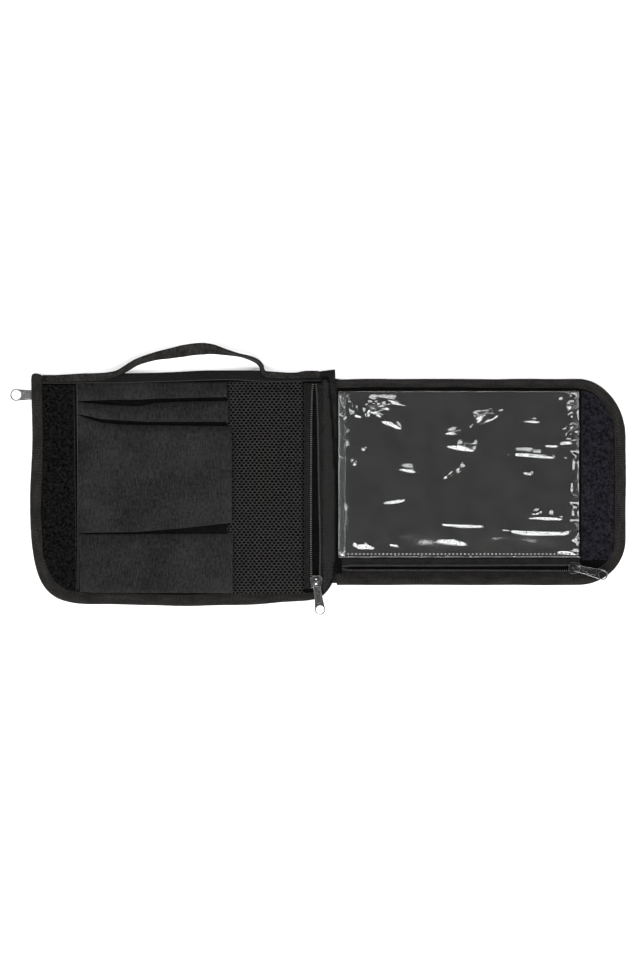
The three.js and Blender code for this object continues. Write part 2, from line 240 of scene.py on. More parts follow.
def bead():
    """A unit ball with few faces."""
    sides = 6
    levels = np.linspace(-math.pi / 2, math.pi / 2, 5)[1:-1]
    turns = np.arange(sides) * 2 * math.pi / sides
    points = [[0, 0, -1]]
    points += [[math.cos(a) * math.cos(o), math.cos(a) * math.sin(o), math.sin(a)]
               for a in levels for o in turns]
    points.append([0, 0, 1])
    top = len(points) - 1
    faces = []
    for j in range(sides):
        k = (j + 1) % sides
        faces.append([0, 1 + k, 1 + j])
        for a in (1, 1 + sides):
            faces.append([a + j, a + k, a + sides + k, a + sides + j])
        faces.append([top - sides + j, top - sides + k, top])
    return np.array(points), faces


def beads(centres, directions, size):
    """A ball stretched to size (along, across, up) at each centre."""
    template, template_faces = bead()
    way = unit(directions)
    side = unit(to_left(way), 1e-12)
    up = np.cross(way, side)
    local = template * (np.asarray(size) / 2)
    points = (centres[:, None] + local[None, :, :1] * way[:, None]
              + local[None, :, 1:2] * side[:, None] + local[None, :, 2:] * up[:, None])
    faces = repeated(template_faces, len(centres), len(template))
    return points.reshape(-1, 3), faces, None


def box_shape(low, high, bevel):
    """A box with chamfered edges, from sections drawn along Z."""
    (x0, y0, z0), (x1, y1, z1) = low, high
    rings = []
    for inset, z in ((bevel, z0), (0, z0 + bevel), (0, z1 - bevel), (bevel, z1)):
        a, b, c, d = x0 + inset, x1 - inset, y0 + inset, y1 - inset
        rings += [[a + bevel, c, z], [b - bevel, c, z], [b, c + bevel, z], [b, d - bevel, z],
                  [b - bevel, d, z], [a + bevel, d, z], [a, d - bevel, z], [a, c + bevel, z]]
    return np.array(rings), end_faces(4, 8) + tube_faces(4, 8), None


def flat_shape(loops, z0, z1, bevel):
    """A flat plate with round edges, filled between outlines (the first is the outside)."""
    data = bpy.data.curves.new("flat", "CURVE")
    data.dimensions, data.fill_mode = "2D", "BOTH"
    data.extrude = (z1 - z0) / 2 - bevel
    data.bevel_depth, data.bevel_resolution = bevel, 2
    data.offset = -bevel
    for loop in loops:
        spline = data.splines.new("POLY")
        spline.points.add(len(loop) - 1)
        for point, (x, y) in zip(spline.points, loop):
            point.co = (x, y, 0, 1)
        spline.use_cyclic_u = True
    holder = add("flat", data)
    mesh = bpy.data.meshes.new_from_object(
        holder.evaluated_get(bpy.context.evaluated_depsgraph_get())
    )
    points = np.array([v.co for v in mesh.vertices]) + [0, 0, (z0 + z1) / 2]
    faces = [list(p.vertices) for p in mesh.polygons]
    bpy.data.objects.remove(holder)
    bpy.data.meshes.remove(mesh)
    bpy.data.curves.remove(data)
    return points, faces, None


def placed(shape, at, turn):
    """A shape turned about Z by degrees and moved."""
    points, faces, uv = shape
    c, s = math.cos(math.radians(turn)), math.sin(math.radians(turn))
    turned = points @ np.array([[c, s, 0], [-s, c, 0], [0, 0, 1]])
    return turned + at, faces, uv


# ---- Outlines ----


def outline_side(bounds, corners, y, inset=0.0):
    """The left and right edges of a rounded panel at a height y."""
    x0, x1, y0, y1 = bounds
    left, right = np.full_like(y, x0 + inset), np.full_like(y, x1 - inset)
    for (rx, ry), edge, sign, low in zip(
        corners, (left, right, right, left), (1, -1, -1, 1), (True, True, False, False)
    ):
        rx, ry = rx - inset, ry - inset
        if rx <= 0 or ry <= 0:
            continue
        depth = (y0 + inset + ry - y) if low else (y - (y1 - inset - ry))
        t = np.clip(depth / ry, 0, 1)
        edge += sign * rx * (1 - np.sqrt(1 - t * t))
    return left, right


def ellipse(centre, radii, start, stop, step):
    """Part of an ellipse, between two angles."""
    count = max(int(abs(stop - start) * max(radii) / step), 4)
    angle = np.linspace(start, stop, count)
    return np.stack([centre[0] + radii[0] * np.cos(angle),
                     centre[1] + radii[1] * np.sin(angle)], 1)


def between(left, right, y, u):
    """Grids of X and Y that run from left to right at each y."""
    return left[:, None] + (right - left)[:, None] * u, np.repeat(y[:, None], len(u), 1)


def panel_grid(bounds, corners, inset, height, step=3.0):
    """A sheet over a rounded panel: height(x, y) gives its top."""
    y0, y1 = bounds[2] + inset, bounds[3] - inset
    v = np.linspace(0, math.pi, int((y1 - y0) / step))
    even = np.linspace(0, 1, len(v))
    y = y0 + (y1 - y0) * (0.45 * (1 - np.cos(v)) / 2 + 0.55 * even)
    left, right = outline_side(bounds, corners, y, inset)
    x, y = between(left, right, y, np.linspace(0, 1, int((bounds[1] - bounds[0]) / step)))
    return np.stack([x, y, height(x, y)], -1)


# ---- Materials ----


def gray(value, warm=0.0):
    return (value * (1 + warm), value, value * (1 - warm))


class Look:
    """One material's node tree, with short calls for the nodes it needs."""

    def __init__(self, name, **sockets):
        self.material = bpy.data.materials.new(name)
        self.material.use_nodes = True
        self.tree = self.material.node_tree
        self.shader = self.tree.nodes["Principled BSDF"]
        for socket, value in sockets.items():
            self.shader.inputs[socket.replace("_", " ")].default_value = value

    def node(self, kind, **settings):
        made = self.tree.nodes.new("ShaderNode" + kind)
        for key, value in settings.items():
            setattr(made, key, value)
        return made

    def link(self, source, target):
        self.tree.links.new(source, target)

    def set(self, socket, source):
        self.link(source, self.shader.inputs[socket])

    def math(self, operation, a, b=None):
        made = self.node("Math", operation=operation)
        self.link(a, made.inputs[0])
        if isinstance(b, (int, float)):
            made.inputs[1].default_value = b
        elif b is not None:
            self.link(b, made.inputs[1])
        return made.outputs[0]

    def total(self, *terms):
        """A sum of (source, weight) terms. A third number is taken off the source first."""
        result = None
        for source, weight, *middle in terms:
            if middle:
                source = self.math("SUBTRACT", source, middle[0])
            if weight != 1:
                source = self.math("MULTIPLY", source, weight)
            result = source if result is None else self.math("ADD", result, source)
        return result

    def wave(self, source, pitch):
        return self.math("SINE", self.math("MULTIPLY", source, 2 * math.pi / pitch))

    def axes(self, kind):
        """X, Y and Z of the coordinates of this kind."""
        split = self.node("SeparateXYZ")
        self.link(self.node("TexCoord").outputs[kind], split.inputs[0])
        return split.outputs

    def noise(self, scale, detail=3.0, roughness=0.55, kind="Object"):
        """Noise with one scale, or one for each axis."""
        mapping = self.node("Mapping")
        mapping.inputs["Scale"].default_value = np.broadcast_to(scale, 3)
        self.link(self.node("TexCoord").outputs[kind], mapping.inputs["Vector"])
        made = self.node("TexNoise")
        for socket, value in (("Scale", 1.0), ("Detail", detail), ("Roughness", roughness)):
            made.inputs[socket].default_value = value
        self.link(mapping.outputs[0], made.inputs["Vector"])
        return made.outputs["Fac"]

    def ramp(self, factor, *stops):
        """Two stops: (position, colour)."""
        made = self.node("ValToRGB")
        for element, (position, color) in zip(made.color_ramp.elements, stops):
            element.position = position
            element.color = (*color, 1)
        self.link(factor, made.inputs["Fac"])
        return made.outputs["Color"]

    def bump(self, height, distance, strength):
        made = self.node("Bump")
        made.inputs["Strength"].default_value = strength
        made.inputs["Distance"].default_value = distance
        self.link(height, made.inputs["Height"])
        self.set("Normal", made.outputs["Normal"])

    def mix(self, *sources):
        """A factor and the two shaders that it mixes."""
        made = self.node("MixShader")
        for source, socket in zip(sources, made.inputs):
            self.link(source, socket)
        return made.outputs[0]


def woven(name, dark, light, pitch=(0.55, 0.55), streak=(1300, 110), sheen=0.02, gloss=0.1):
    """Plain woven cloth with uneven yarns: streaks run along Y. pitch is in millimetres."""
    look = Look(name, Roughness=0.92, Specular_IOR_Level=gloss, Sheen_Weight=sheen)
    streaks = look.noise((*streak, 100), 4, 0.62)
    cross = look.noise((*streak[::-1], 100), 3, 0.6)
    patches = look.noise(28, 2)
    slubs = look.noise((560, 330, 300), 3, 0.6)
    x, y, _ = look.axes("Object")
    # warp and weft that pass over each other
    weave = look.math("MULTIPLY", look.wave(x, pitch[0] * MM), look.wave(y, pitch[1] * MM))
    shade = look.total((streaks, 0.72), (cross, 0.28), (slubs, 0.55, 0.5), (patches, 0.35, 0.5),
                       (weave, 0.07))
    look.set("Base Color", look.ramp(shade, (0.36, dark), (0.66, light)))
    look.bump(look.total((weave, 1), (streaks, 1.5)), 0.00008, 0.8)
    return look.material


def ribbed(name, dark, light, pitch, slant=0.0, depth=0.00012):
    """Grosgrain tape or webbing: ribs across its length, from the UV map in millimetres."""
    look = Look(name, Roughness=0.9, Specular_IOR_Level=0.1, Sheen_Weight=0.02)
    length, width, _ = look.axes("UV")
    rib = look.wave(look.total((length, 1), (width, slant)), pitch)
    yarn = look.wave(width, pitch * 0.6)
    fleck = look.noise((0.9, 0.9, 1), 4, 0.65, "UV")
    patch = look.noise((0.06, 0.2, 1), 2, kind="UV")
    shade = look.total((fleck, 1), (rib, 0.06), (patch, 0.4, 0.5))
    look.set("Base Color", look.ramp(shade, (0.39, dark), (0.65, light)))
    look.bump(look.total((rib, 1), (yarn, 0.35), (fleck, 1)), depth, 0.9)
    return look.material


def plain(name, dark, light, roughness, scale, **sockets):
    """A surface with small changes of tone and a fine grain."""
    look = Look(name, Roughness=roughness, **sockets)
    grain = look.noise(scale, 4, 0.6)
    look.set("Base Color", look.ramp(grain, (0.35, dark), (0.68, light)))
    look.bump(grain, 0.00004, 0.6)
    return look.material


def thread(name, dark, light):
    """Matt yarn."""
    return plain(name, dark, light, 0.85, 700, Specular_IOR_Level=0.08)


def metal(name, dark, light, roughness):
    """Plated metal with fine brush marks and worn patches."""
    look = Look(name, Metallic=1.0, Roughness=roughness)
    marks = look.noise((300, 4000, 800))
    wear = look.noise(260, 4, 0.6)
    shade = look.total((marks, 0.4), (wear, 0.6))
    look.set("Base Color", look.ramp(shade, (0.35, dark), (0.65, light)))
    look.set("Roughness", look.ramp(wear, (0.3, gray(roughness * 0.8)), (0.7, gray(roughness * 1.3))))
    look.bump(marks, 0.00002, 0.5)
    return look.material


def clear_vinyl(name):
    """Thin clear film: mostly see-through, with gloss that grows at slanting angles."""
    look = Look(name, Roughness=0.07, Specular_IOR_Level=0.5)
    look.shader.inputs["Base Color"].default_value = (0.64, 0.63, 0.60, 1)
    look.bump(look.noise(900), 0.00001, 0.2)
    clear, gloss, fresnel = (look.node(kind) for kind in ("BsdfTransparent", "BsdfGlossy", "Fresnel"))
    clear.inputs["Color"].default_value = (0.97, 0.98, 0.98, 1)
    gloss.inputs["Color"].default_value = (1, 1, 1, 1)
    gloss.inputs["Roughness"].default_value = 0.09
    fresnel.inputs["IOR"].default_value = 1.5
    haze = look.ramp(look.noise(60), (0.3, gray(0.002)), (0.75, gray(0.008)))
    film = look.mix(fresnel.outputs[0], clear.outputs[0], gloss.outputs[0])
    milky = look.mix(haze, film, look.shader.outputs[0])
    look.link(milky, look.tree.nodes["Material Output"].inputs["Surface"])
    return look.material


BINDING_RIB = 2.1  # from rib to rib of the grosgrain

LOOKS = {
    "outer": woven("outer_fabric", gray(0.003, 0.06), gray(0.012, 0.06), pitch=(0.9, 0.9),
                   streak=(700, 90)),
    # lining: partly the lining's own black, partly painted shade: darkened further so the gaps between
    # the pockets and along the open zip look deep
    "lining": woven("lining_fabric", gray(0.0006), gray(0.0025), pitch=(0.6, 0.6),
                    sheen=0.0, gloss=0.04),
    "pocket": woven("pocket_fabric", gray(0.0020, 0.01), gray(0.0140, 0.01), pitch=(0.7, 0.7)),
    "band": woven("band_fabric", gray(0.0016), gray(0.004), pitch=(0.5, 0.5), streak=(200, 500)),
    "binding": ribbed("binding_tape", gray(0.0018, 0.06), gray(0.0135, 0.08), pitch=BINDING_RIB),
    "webbing": ribbed("handle_webbing", gray(0.0015, 0.07), gray(0.0185, 0.09), pitch=1.5, slant=0.8,
                      depth=0.00025),
    "thread": thread("thread", gray(0.002), gray(0.006)),
    "seam": thread("seam_thread", gray(0.018), gray(0.036)),
    "mesh": thread("mesh_net", gray(0.006, 0.03), gray(0.022, 0.03)),
    "loops": plain("loop_pile", gray(0.0), gray(0.0068), 0.95, 380, Specular_IOR_Level=0.02),
    "hooks": plain("hook_pile", (0.0005, 0.0005, 0.0012), (0.0115, 0.0115, 0.0152), 0.9, 420,
                   Specular_IOR_Level=0.05),
    "tape": woven("zip_tape", gray(0.0018, 0.08), gray(0.0055, 0.08), pitch=(0.8, 0.5),
                  streak=(300, 300)),
    # teeth is a lighter copy of the coil colour, painted highlight for the brighter left row of the mesh
    # zip; teeth_dark is the coils' own colour
    "teeth": plain("zip_teeth", gray(0.03), gray(0.10), 0.4, 700),
    "teeth_dark": plain("zip_teeth_dark", gray(0.016), gray(0.055), 0.42, 700),
    "nickel": metal("nickel", gray(0.16), gray(0.28), 0.22),
    "gunmetal": metal("gunmetal", gray(0.035), gray(0.065), 0.3),
    "black": plain("black_enamel", gray(0.002), gray(0.005), 0.42, 300, Specular_IOR_Level=0.1),
    # rim: a lighter metal for the side faces of the pulls, painted highlight for their bright edges
    "rim": metal("painted_edge_highlight", gray(0.18), gray(0.30), 0.26),
    "vinyl": clear_vinyl("clear_vinyl"),
    "raw_edge": plain("vinyl_cut_edge", gray(0.03), gray(0.13), 0.35, 90),
    "pale_thread": thread("window_thread", gray(0.18), gray(0.42)),
    "card": plain("grey_card", (0.33, 0.30, 0.26), (0.47, 0.43, 0.37), 0.9, 300),
}


# ---- Making pieces ----


def piece(name, shape, body, look, slot, replaces=(), sharp=None, rim_look=None):
    """A mesh object from a shape in millimetres, riding on a body (None: on no body)."""
    points, faces, uv = shape
    mesh = bpy.data.meshes.new(name)
    mesh.from_pydata((np.asarray(points) * MM).tolist(), [], faces)
    mesh.validate()
    if uv is not None:
        layer = mesh.uv_layers.new(name="length_and_width")
        corner = np.empty(len(mesh.loops), int)
        mesh.loops.foreach_get("vertex_index", corner)
        layer.data.foreach_set("uv", np.asarray(uv, float)[corner].ravel())
    mesh.shade_smooth()
    if sharp is not None:
        mesh.set_sharp_from_angle(angle=math.radians(sharp))
    mesh.materials.append(LOOKS[look])
    # rim_look colours the faces that don't face up or down: a lighter look there is painted highlight
    # along the edges
    if rim_look:
        mesh.materials.append(LOOKS[rim_look])
        for polygon in mesh.polygons:
            polygon.material_index = int(abs(polygon.normal.z) < 0.97)
    made = add(name, mesh)
    if body:
        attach(made, body)
    if replaces:
        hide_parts(*replaces)
    return made


def sew(name, path, body, slot, pitch=2.8, size=(2.0, 0.55, 0.45), look="thread"):
    """A row of thread stitches along a line. size is a stitch's length, width and height."""
    line = resample(path, pitch)
    piece(name, beads((line[1:] + line[:-1]) / 2, line[1:] - line[:-1], size), body, look, slot)


# ---- Covers and linings ----


def ground_sheets():
    """The flat cloth layers of both halves, a little uneven as sewn cloth is, and their card."""
    wave = Noise(3, 45, 60)
    for name, bounds, corners, body, look, slot, shift, depth in (
        ("main_back_cover", MAIN, MAIN_CORNERS, "main_panel", "outer", "outer_fabric", 150, 0.12),
        ("main_lining", MAIN, MAIN_CORNERS, "main_panel", "lining", "lining", 0, 0.14),
        ("flap_back_cover", FLAP_SHEET, FLAP_CORNERS, "flap", "outer", "outer_fabric", 150, 0.1),
        ("flap_lining", FLAP_SHEET, FLAP_CORNERS, "flap", "lining", "lining", 0, 0.08),
    ):
        (x0, y0, _), (x1, y1, top) = span(name)
        surface = panel_grid(bounds, corners, 3.6,
                             lambda x, y: top - depth + depth * wave(x + shift, y) * 0.5)
        made = piece(name + "_cloth", shell(surface, 0.35), body, look, slot, (name,))
    for name, bounds, corners, body in (
        ("main_stiffener", MAIN, MAIN_CORNERS, "main_panel"),
        ("flap_stiffener", FLAP, FLAP_CORNERS, "flap"),
    ):
        bottom, top = (corner[2] for corner in span(name))
        surface = panel_grid(bounds, corners, 7.0, lambda x, y: top - 0.05 + 0 * x, 12.0)
        piece(name + "_card", shell(surface, top - bottom - 0.1), body, "card", "card", (name,))


def back_pocket():
    """The outside pocket's panel: it bulges down to the table, and is stitched at its edge."""
    (x0, y0, _), (x1, _, _) = span("back_pocket_panel")
    y1 = span("back_zip_tape_lower")[0][1]
    bounds, corners = (x0, x1, y0, y1), ((35, 48.5), (16.5, 5.5), (0, 0), (0, 0))
    wave, fine = Noise(21, 60, 45), Noise(22, 14, 9)

    def height(x, y):
        edge = np.minimum.reduce([x - x0, x1 - x, y - y0, y1 - y])
        lift = 1.9 * (1 - smooth(edge, 0, 16))
        return 0.6 + lift + 0.16 * (1 + wave(x, y)) + 0.1 * fine(x, y) * (1 - smooth(edge, 2, 22))

    made = piece("back_pocket_cloth", shell(panel_grid(bounds, corners, 0.0, height, 2.5), 0.5),
                 "main_panel", "outer", "outer_fabric", ("back_pocket_panel",))
    left, right = outline_side(bounds, corners, np.array([y1 - 3.0]), 3.0)
    sew("back_pocket_stitches", [[left[0], y1 - 2.2, 1.7], [right[0], y1 - 2.2, 1.7]],
        "main_panel", "outer_fabric")


# ---- Edge bindings ----


def binding_section(width, bottom, top, lower_width, crown=0.15):
    """A tape folded round the layers: its section, from the edge inwards and up."""
    half, middle = (top - bottom) / 2, (top + bottom) / 2
    outer = [[half - half * math.cos(a), middle + (half + crown * (a > 0)) * math.sin(a)]
             for a in np.linspace(-math.pi / 2, math.pi / 2, 7)]
    dome = [[half + (width - half) * t, top + crown * math.cos(math.pi * t / 2) ** 2 - 0.5 * t**6]
            for t in np.linspace(0.12, 1, 8)]
    inner = [[width - 0.1, top - 0.75], [half, top - 0.62], [half, bottom + 0.62],
             [lower_width, bottom + 0.55], [lower_width, bottom + 0.05], [half, bottom]]
    return np.array(outer + dome + inner)[::-1]


# The outer edge of the main half as sewn: down the left side, along the bottom and up to
# the fold.
MAIN_EDGE = [
    (-127.4, 104.8), (-130.6, 106.6), (-134.6, 107.4), (-137.6, 106.4), (-138.6, 103), (-138.4, 92),
    (-137.9, 75), (-137.6, 55), (-137.8, 38), (-138.7, 18), (-139.4, 0), (-139.5, -22), (-139.1, -38),
    (-138.1, -50), (-136.7, -60), (-134.7, -70), (-131.9, -79.5), (-127.8, -88.5), (-121.8, -96),
    (-113.4, -101.8), (-102, -105.3), (-88, -106.9), (-60, -107.2), (-30, -108), (0, -108.5),
    (24, -108.2), (50, -107.8), (74, -107), (92, -105.5), (108, -104.3), (121, -103), (130.5, -100),
    (137, -94), (141, -87.5), (142.6, -82),
]
SECTION_STEP = 0.36  # along the bindings
SEWN_AT = 0.78  # the seam's place across a binding
HIDDEN_WIDTH = 10.3  # of a binding's lower side


def flap_binding_path():
    """The edge from the low left, along the bottom, up the right side and back along the top."""
    x0, x1, y0, y1 = FLAP
    (bx, by), (cx, cy) = FLAP_CORNERS[1], FLAP_CORNERS[2]
    line = np.vstack([
        [[x0 + 0.6, y0]],
        ellipse((x1 - bx, y0 + by), (bx, by), 1.5 * math.pi, 2 * math.pi, 1.5),
        ellipse((x1 - cx, y1 - cy), (cx, cy), 0, 0.5 * math.pi, 1.5),
        [[x0 + 0.6, y1]],
    ])
    return resample(line, SECTION_STEP)


def bind(name, path, widths, bottom, top, body):
    """One ribbed binding with its two rows of stitches."""
    s = along(path)
    zero = 0 * s
    wobble, wide = Noise(41 + len(name), 38), Noise(47 + len(name), 55)
    inward = to_left(unit(np.gradient(path, axis=0)))[:, :2]
    path = path + inward * (0.2 * (1 + wobble(s, zero)))[:, None]
    width = np.interp(s / s[-1], *widths) + 0.3 * wide(s, zero)
    sections = np.array([binding_section(w, bottom, top, HIDDEN_WIDTH, 0.9) for w in width])
    across, up = sections[..., 0], sections[..., 1]
    middle = (top + bottom) / 2
    rib = (0.5 - 0.5 * np.cos(2 * math.pi * s / BINDING_RIB))[:, None]
    outside = np.abs(up - middle) > (top - bottom) / 2 - 0.5
    across -= 0.36 * rib * np.clip(1 - across / 2.5, 0, 1)
    up += 0.07 * rib * outside * np.sign(up - middle)
    # the sewing pulls a shallow groove into the top
    seam = SEWN_AT * width
    groove = np.exp(-(((across - seam[:, None]) / 0.7) ** 2))
    up -= 0.22 * groove * (up > top - 0.4)
    up += (0.1 * wobble(s + 90, zero))[:, None]
    piece(name + "_tape", sweep(np.column_stack([path, zero]), sections), body, "binding",
          "binding", (name,))
    for row, inset, z, size in (
        ("_stitches", seam, top - 0.05, (1.9, 0.75, 0.55)),
        ("_back_stitches", zero + 6.0, bottom + 0.02, (1.9, 0.6, 0.4)),
    ):
        x, y = (path + inward * inset[:, None]).T
        sew(name + row, level_line(x, y, z), body, "binding", 2.9, size)


def bindings():
    bind("main_binding", curve_through(MAIN_EDGE, SECTION_STEP),
         ([0, 0.3, 0.45, 0.8, 0.93, 1], [10, 10.6, 11.2, 11, 7.5, 5]), EDGE_BOTTOM, EDGE_TOP,
         "main_panel")
    bind("flap_binding", flap_binding_path(),
         ([0, 0.35, 0.5, 0.62, 0.72, 1], [10.6, 10.4, 10.2, 10, 8, 7.6]), flap_low[2], FLAP_TOP,
         "flap")


def top_band():
    """The smooth band folded over the main half's top edge, with a pale seam line below."""
    x = np.arange(band_low[0] + 1, 145.2, 1.5)
    zero = 0 * x
    wave = Noise(5, 60)
    rise = 2.4 * smooth(x, 124, 132) + 1.3 * smooth(x, 130, 145) - 1.2 * smooth(-x, 85, 122)
    rise += 3.0 * smooth(x, -62, 45) * (1 - smooth(x, 60, 120))
    top_y = band_high[1] - 0.3 + rise + 0.2 * wave(x, zero)
    low_y = 98.1 + 3.0 * smooth(x, -70, 48) - 1.3 * smooth(x, 48, 80) + 0.2 * wave(x + 99, zero)
    sections = np.array([binding_section(high - low, EDGE_BOTTOM, EDGE_TOP, high - 97.4)[::-1]
                         for high, low in zip(top_y, low_y)])
    sections[..., 0] = top_y[:, None] - sections[..., 0]
    fold = smooth(x, 126, 133)[:, None] * (1 - smooth(x, 140, 145))[:, None]
    sections[..., 1] += 0.8 * fold * (sections[..., 1] > 4)
    piece("top_band_cloth", sweep(np.column_stack([x, zero, zero]), sections), "main_panel",
          "band", "band", ("top_band",))
    seam = level_line(x, low_y + 0.35, EDGE_TOP - 0.15)[x < 138]
    piece("top_band_seam", rod(seam, 0.3, 6), "main_panel", "seam", "band")


def pocket_side_seam():
    """The pale seam line along the closed ends of the pockets."""
    y = np.arange(-93.0, 94.5, 1.5)
    line = level_line(-94.8 - 0.0024 * y, y, 6.95)
    piece("pocket_side_seam", rod(line, 0.34, 6), "main_panel", "seam", "lining")


# ---- Closure strips ----


def pile(centres, floor, height, width, yarn, tilt):
    """Small loops of yarn standing on a tape."""
    n, steps, sides = len(centres), 4, 3
    bend = np.linspace(0, math.pi, steps)
    turn = RNG.uniform(0, math.pi, n)[:, None]
    lean = RNG.normal(0, tilt, (n, 2))
    tall = height * RNG.uniform(0.6, 1.2, n)
    wide = width * RNG.uniform(0.7, 1.3, n)
    across = np.cos(bend) * wide[:, None] / 2
    up = np.sin(bend) * tall[:, None]
    centre = np.stack([
        centres[:, :1] + across * np.cos(turn) + lean[:, :1] * up,
        centres[:, 1:] + across * np.sin(turn) + lean[:, 1:] * up,
        floor + up,
    ], -1)
    angle = (np.arange(sides) * 2 * math.pi / sides)[:, None]
    side = np.stack([-np.sin(turn), np.cos(turn), 0 * turn], -1)
    out = np.stack([np.cos(turn) * np.cos(bend), np.sin(turn) * np.cos(bend),
                    np.sin(bend) + 0 * turn], -1)
    ring = (centre[:, :, None] + yarn * np.cos(angle) * out[:, :, None]
            + yarn * np.sin(angle) * side[:, :, None])
    faces = repeated(tube_faces(steps, sides) + end_faces(steps, sides), n, steps * sides)
    return ring.reshape(-1, 3), faces, None


def closure_strip(name, bounds, corners, inset, body, look, slot, density, yarn, slope=0.0):
    """Hook or loop tape: a woven ground with its pile, kept inside the binding."""
    low, high = span(name)
    y = np.linspace(low[1], high[1], 70)
    left, right = outline_side(bounds, corners, y, inset)
    left = np.maximum(left, low[0])
    right = np.minimum(right, high[0] + slope * (y - low[1]) / (high[1] - low[1]))
    x, grid_y = between(left, right, y, np.linspace(0, 1, 16))
    surface = np.stack([x, grid_y, low[2] + 0.45 + 0.06 * Noise(61, 30)(x, grid_y)], -1)
    piece(name + "_ground", shell(surface, 0.4), body, look, slot, (name,))
    count = int(density * (high[0] - low[0]) * (high[1] - low[1]))
    px = RNG.uniform(low[0], high[0] + abs(slope), count)
    py = RNG.uniform(low[1] + 0.5, high[1] - 0.5, count)
    inside = (px > np.interp(py, y, left) + 0.5) & (px < np.interp(py, y, right) - 0.5)
    centres = np.column_stack([px, py])[inside]
    piece(name + "_pile", pile(centres, low[2] + 0.35, 0.75, yarn * 5, yarn, 0.3), body, look, slot)
    return y, left, right, low[2]


def closure():
    y, _, right, floor = closure_strip("loop_strip", MAIN, MAIN_CORNERS, 10.9, "main_panel",
                                       "loops", "loop_tape", 0.95, 0.12, slope=-2.6)
    sew("loop_strip_stitches", level_line(right - 0.9, y, floor + 0.75), "main_panel",
        "loop_tape", 2.2, (1.6, 0.5, 0.4), "seam")
    y, left, right, floor = closure_strip("hook_strip", FLAP, FLAP_CORNERS, 10.0, "flap",
                                          "hooks", "hook_tape", 1.15, 0.09)
    for side, x in (("left", left + 1.2), ("right", right - 1.2)):
        sew("hook_strip_stitches_" + side, level_line(x, y, floor + 0.6), "flap", "hook_tape",
            2.6, (1.8, 0.5, 0.4))


# ---- Fabric pockets ----

POCKET_SEAM = -94.9  # the left seam of the pockets at half height


def pocket(name, low_edge, high_edge, mouth, height, seed, hem=11.0, rise=9.0, pinch=0.0,
           low_roll=0.85, slope=7.5):
    """A slack cloth pocket, sewn down at the left and open at the right. low_edge and
    high_edge are (x, y) lines of its long sides. It rises over low_roll heights at the low
    one, and slopes down over slope millimetres to the high one."""
    s = np.linspace(0, 1, 150)
    floor = MAIN_FLOOR + 0.12
    x_line = POCKET_SEAM + (mouth - POCKET_SEAM) * s
    y0, y1 = (soften(np.interp(x_line, *zip(*edge)), 6) for edge in (low_edge, high_edge))
    near = x_line - POCKET_SEAM
    h = height * (0.18 + 0.82 * smooth(near, 0, rise))
    low_turn = np.linspace(0, math.pi / 2, 8)
    high_turn = np.append(np.linspace(0, 0.9, 11), (0.94, 0.97, 0.99, 1))
    run = np.minimum(slope, y1 - y0 - 1.0 - low_roll * h)
    inner0, inner1 = y0 + low_roll * h, y1 - run
    flat = np.linspace(0, 1, max(int((inner1 - inner0).mean() / 2.2), 3))[1:-1]
    rows = [(y0 + h * low_roll * (1 - math.cos(a)) - 0.5 * math.sin(2 * a), h * math.sin(a) ** 0.8)
            for a in low_turn]
    rows += [(inner0 + (inner1 - inner0) * t, h) for t in flat]
    rows += [(y1 - run * (1 - u), h * (0.82 * (1 - u**1.5) + 0.18 * math.sqrt(1 - u**12)))
             for u in high_turn]
    y, z = (np.array(part) for part in zip(*rows))
    x = x_line - 0.019 * y * (1 - s)  # the left seam leans
    top = smooth(z / h, 0.5, 1.0)
    fold, crease, soft = Noise(seed, 5.5, 60), Noise(seed + 1, 16, 90), Noise(seed + 2, 38, 30)
    gather = Noise(seed + 3, 60, 7)
    z = z + top * (
        0.07 * fold(x, y) + 0.16 * crease(x, y) + 0.24 * soft(x, y)
        + 0.3 * gather(x, y) * np.exp(-near / 11)
    )
    sag = np.sin(math.pi * np.clip((y - y0) / (y1 - y0), 0, 1)) ** 2
    z -= 0.3 * sag * smooth(near, 5, 40) * (height / 4.5)
    z += 0.4 * smooth(x, mouth - hem - 0.4, mouth - hem + 0.5) * top
    if pinch:
        ridge = np.exp(-(((y - (y1 - 5 - 0.1 * near)) / 2.2) ** 2)) * np.exp(-near / 18)
        z += pinch * ridge * top
    surface = np.stack([x, y, floor + z], -1)
    made = piece(name + "_cloth", shell(surface, 0.55), "main_panel", "pocket", "pocket_fabric",
                 (name,))
    column = int(np.argmin(np.abs(x_line - (mouth - hem + 1.2))))
    sew(name + "_hem_stitches", surface[5:-6, column] + [0, 0, 0.08], "main_panel",
        "pocket_fabric", 2.6, (1.8, 0.45, 0.35))


def pockets():
    low_pencil = [(-95, 81.6), (-56, 83.0), (-36, 83.0), (-20, 84.0), (0, 84.4), (44, 85.4)]
    high_pencil = [(-95, 98.6), (44, 98.9)]
    pocket("pencil_sleeve", low_pencil, high_pencil, 43.6, 6.0, 101, hem=9.0, low_roll=0.5,
           slope=12.5)
    low_pen = [(-95, 70.0), (-88, 68.6), (-72, 65.0), (-55, 63.8), (-30, 62.4), (45, 62.4)]
    high_pen = [(-95, 81.4), (-73, 79.0), (-56, 77.4), (-36, 76.8), (-28, 78.8), (-17, 80.6),
                (0, 81.0), (45, 82.0)]
    pocket("pen_sleeve", low_pen, high_pen, 44.8, 5.6, 111, hem=9.0, rise=5.0, pinch=0.8,
           low_roll=0.6, slope=9.0)
    low_phone = [(-95, -40.6), (-40, -39.6), (0, -36.4), (48, -31.0)]
    high_phone = [(-95, 70.0), (-86, 66.4), (-72, 61.8), (-55, 60.0), (0, 58.8), (48, 58.6)]
    pocket("phone_pocket", low_phone, high_phone, 48.1, 5.0, 121, hem=11.5, slope=7.5)
    low_lower = [(-95, -95.0), (-80, -96.0), (49, -96.4)]
    high_lower = [(-95, -41.4), (49, -41.4)]
    pocket("lower_pocket", low_lower, high_lower, 49.0, 5.0, 131, hem=10.5, slope=10.5)


# ---- Mesh pocket ----


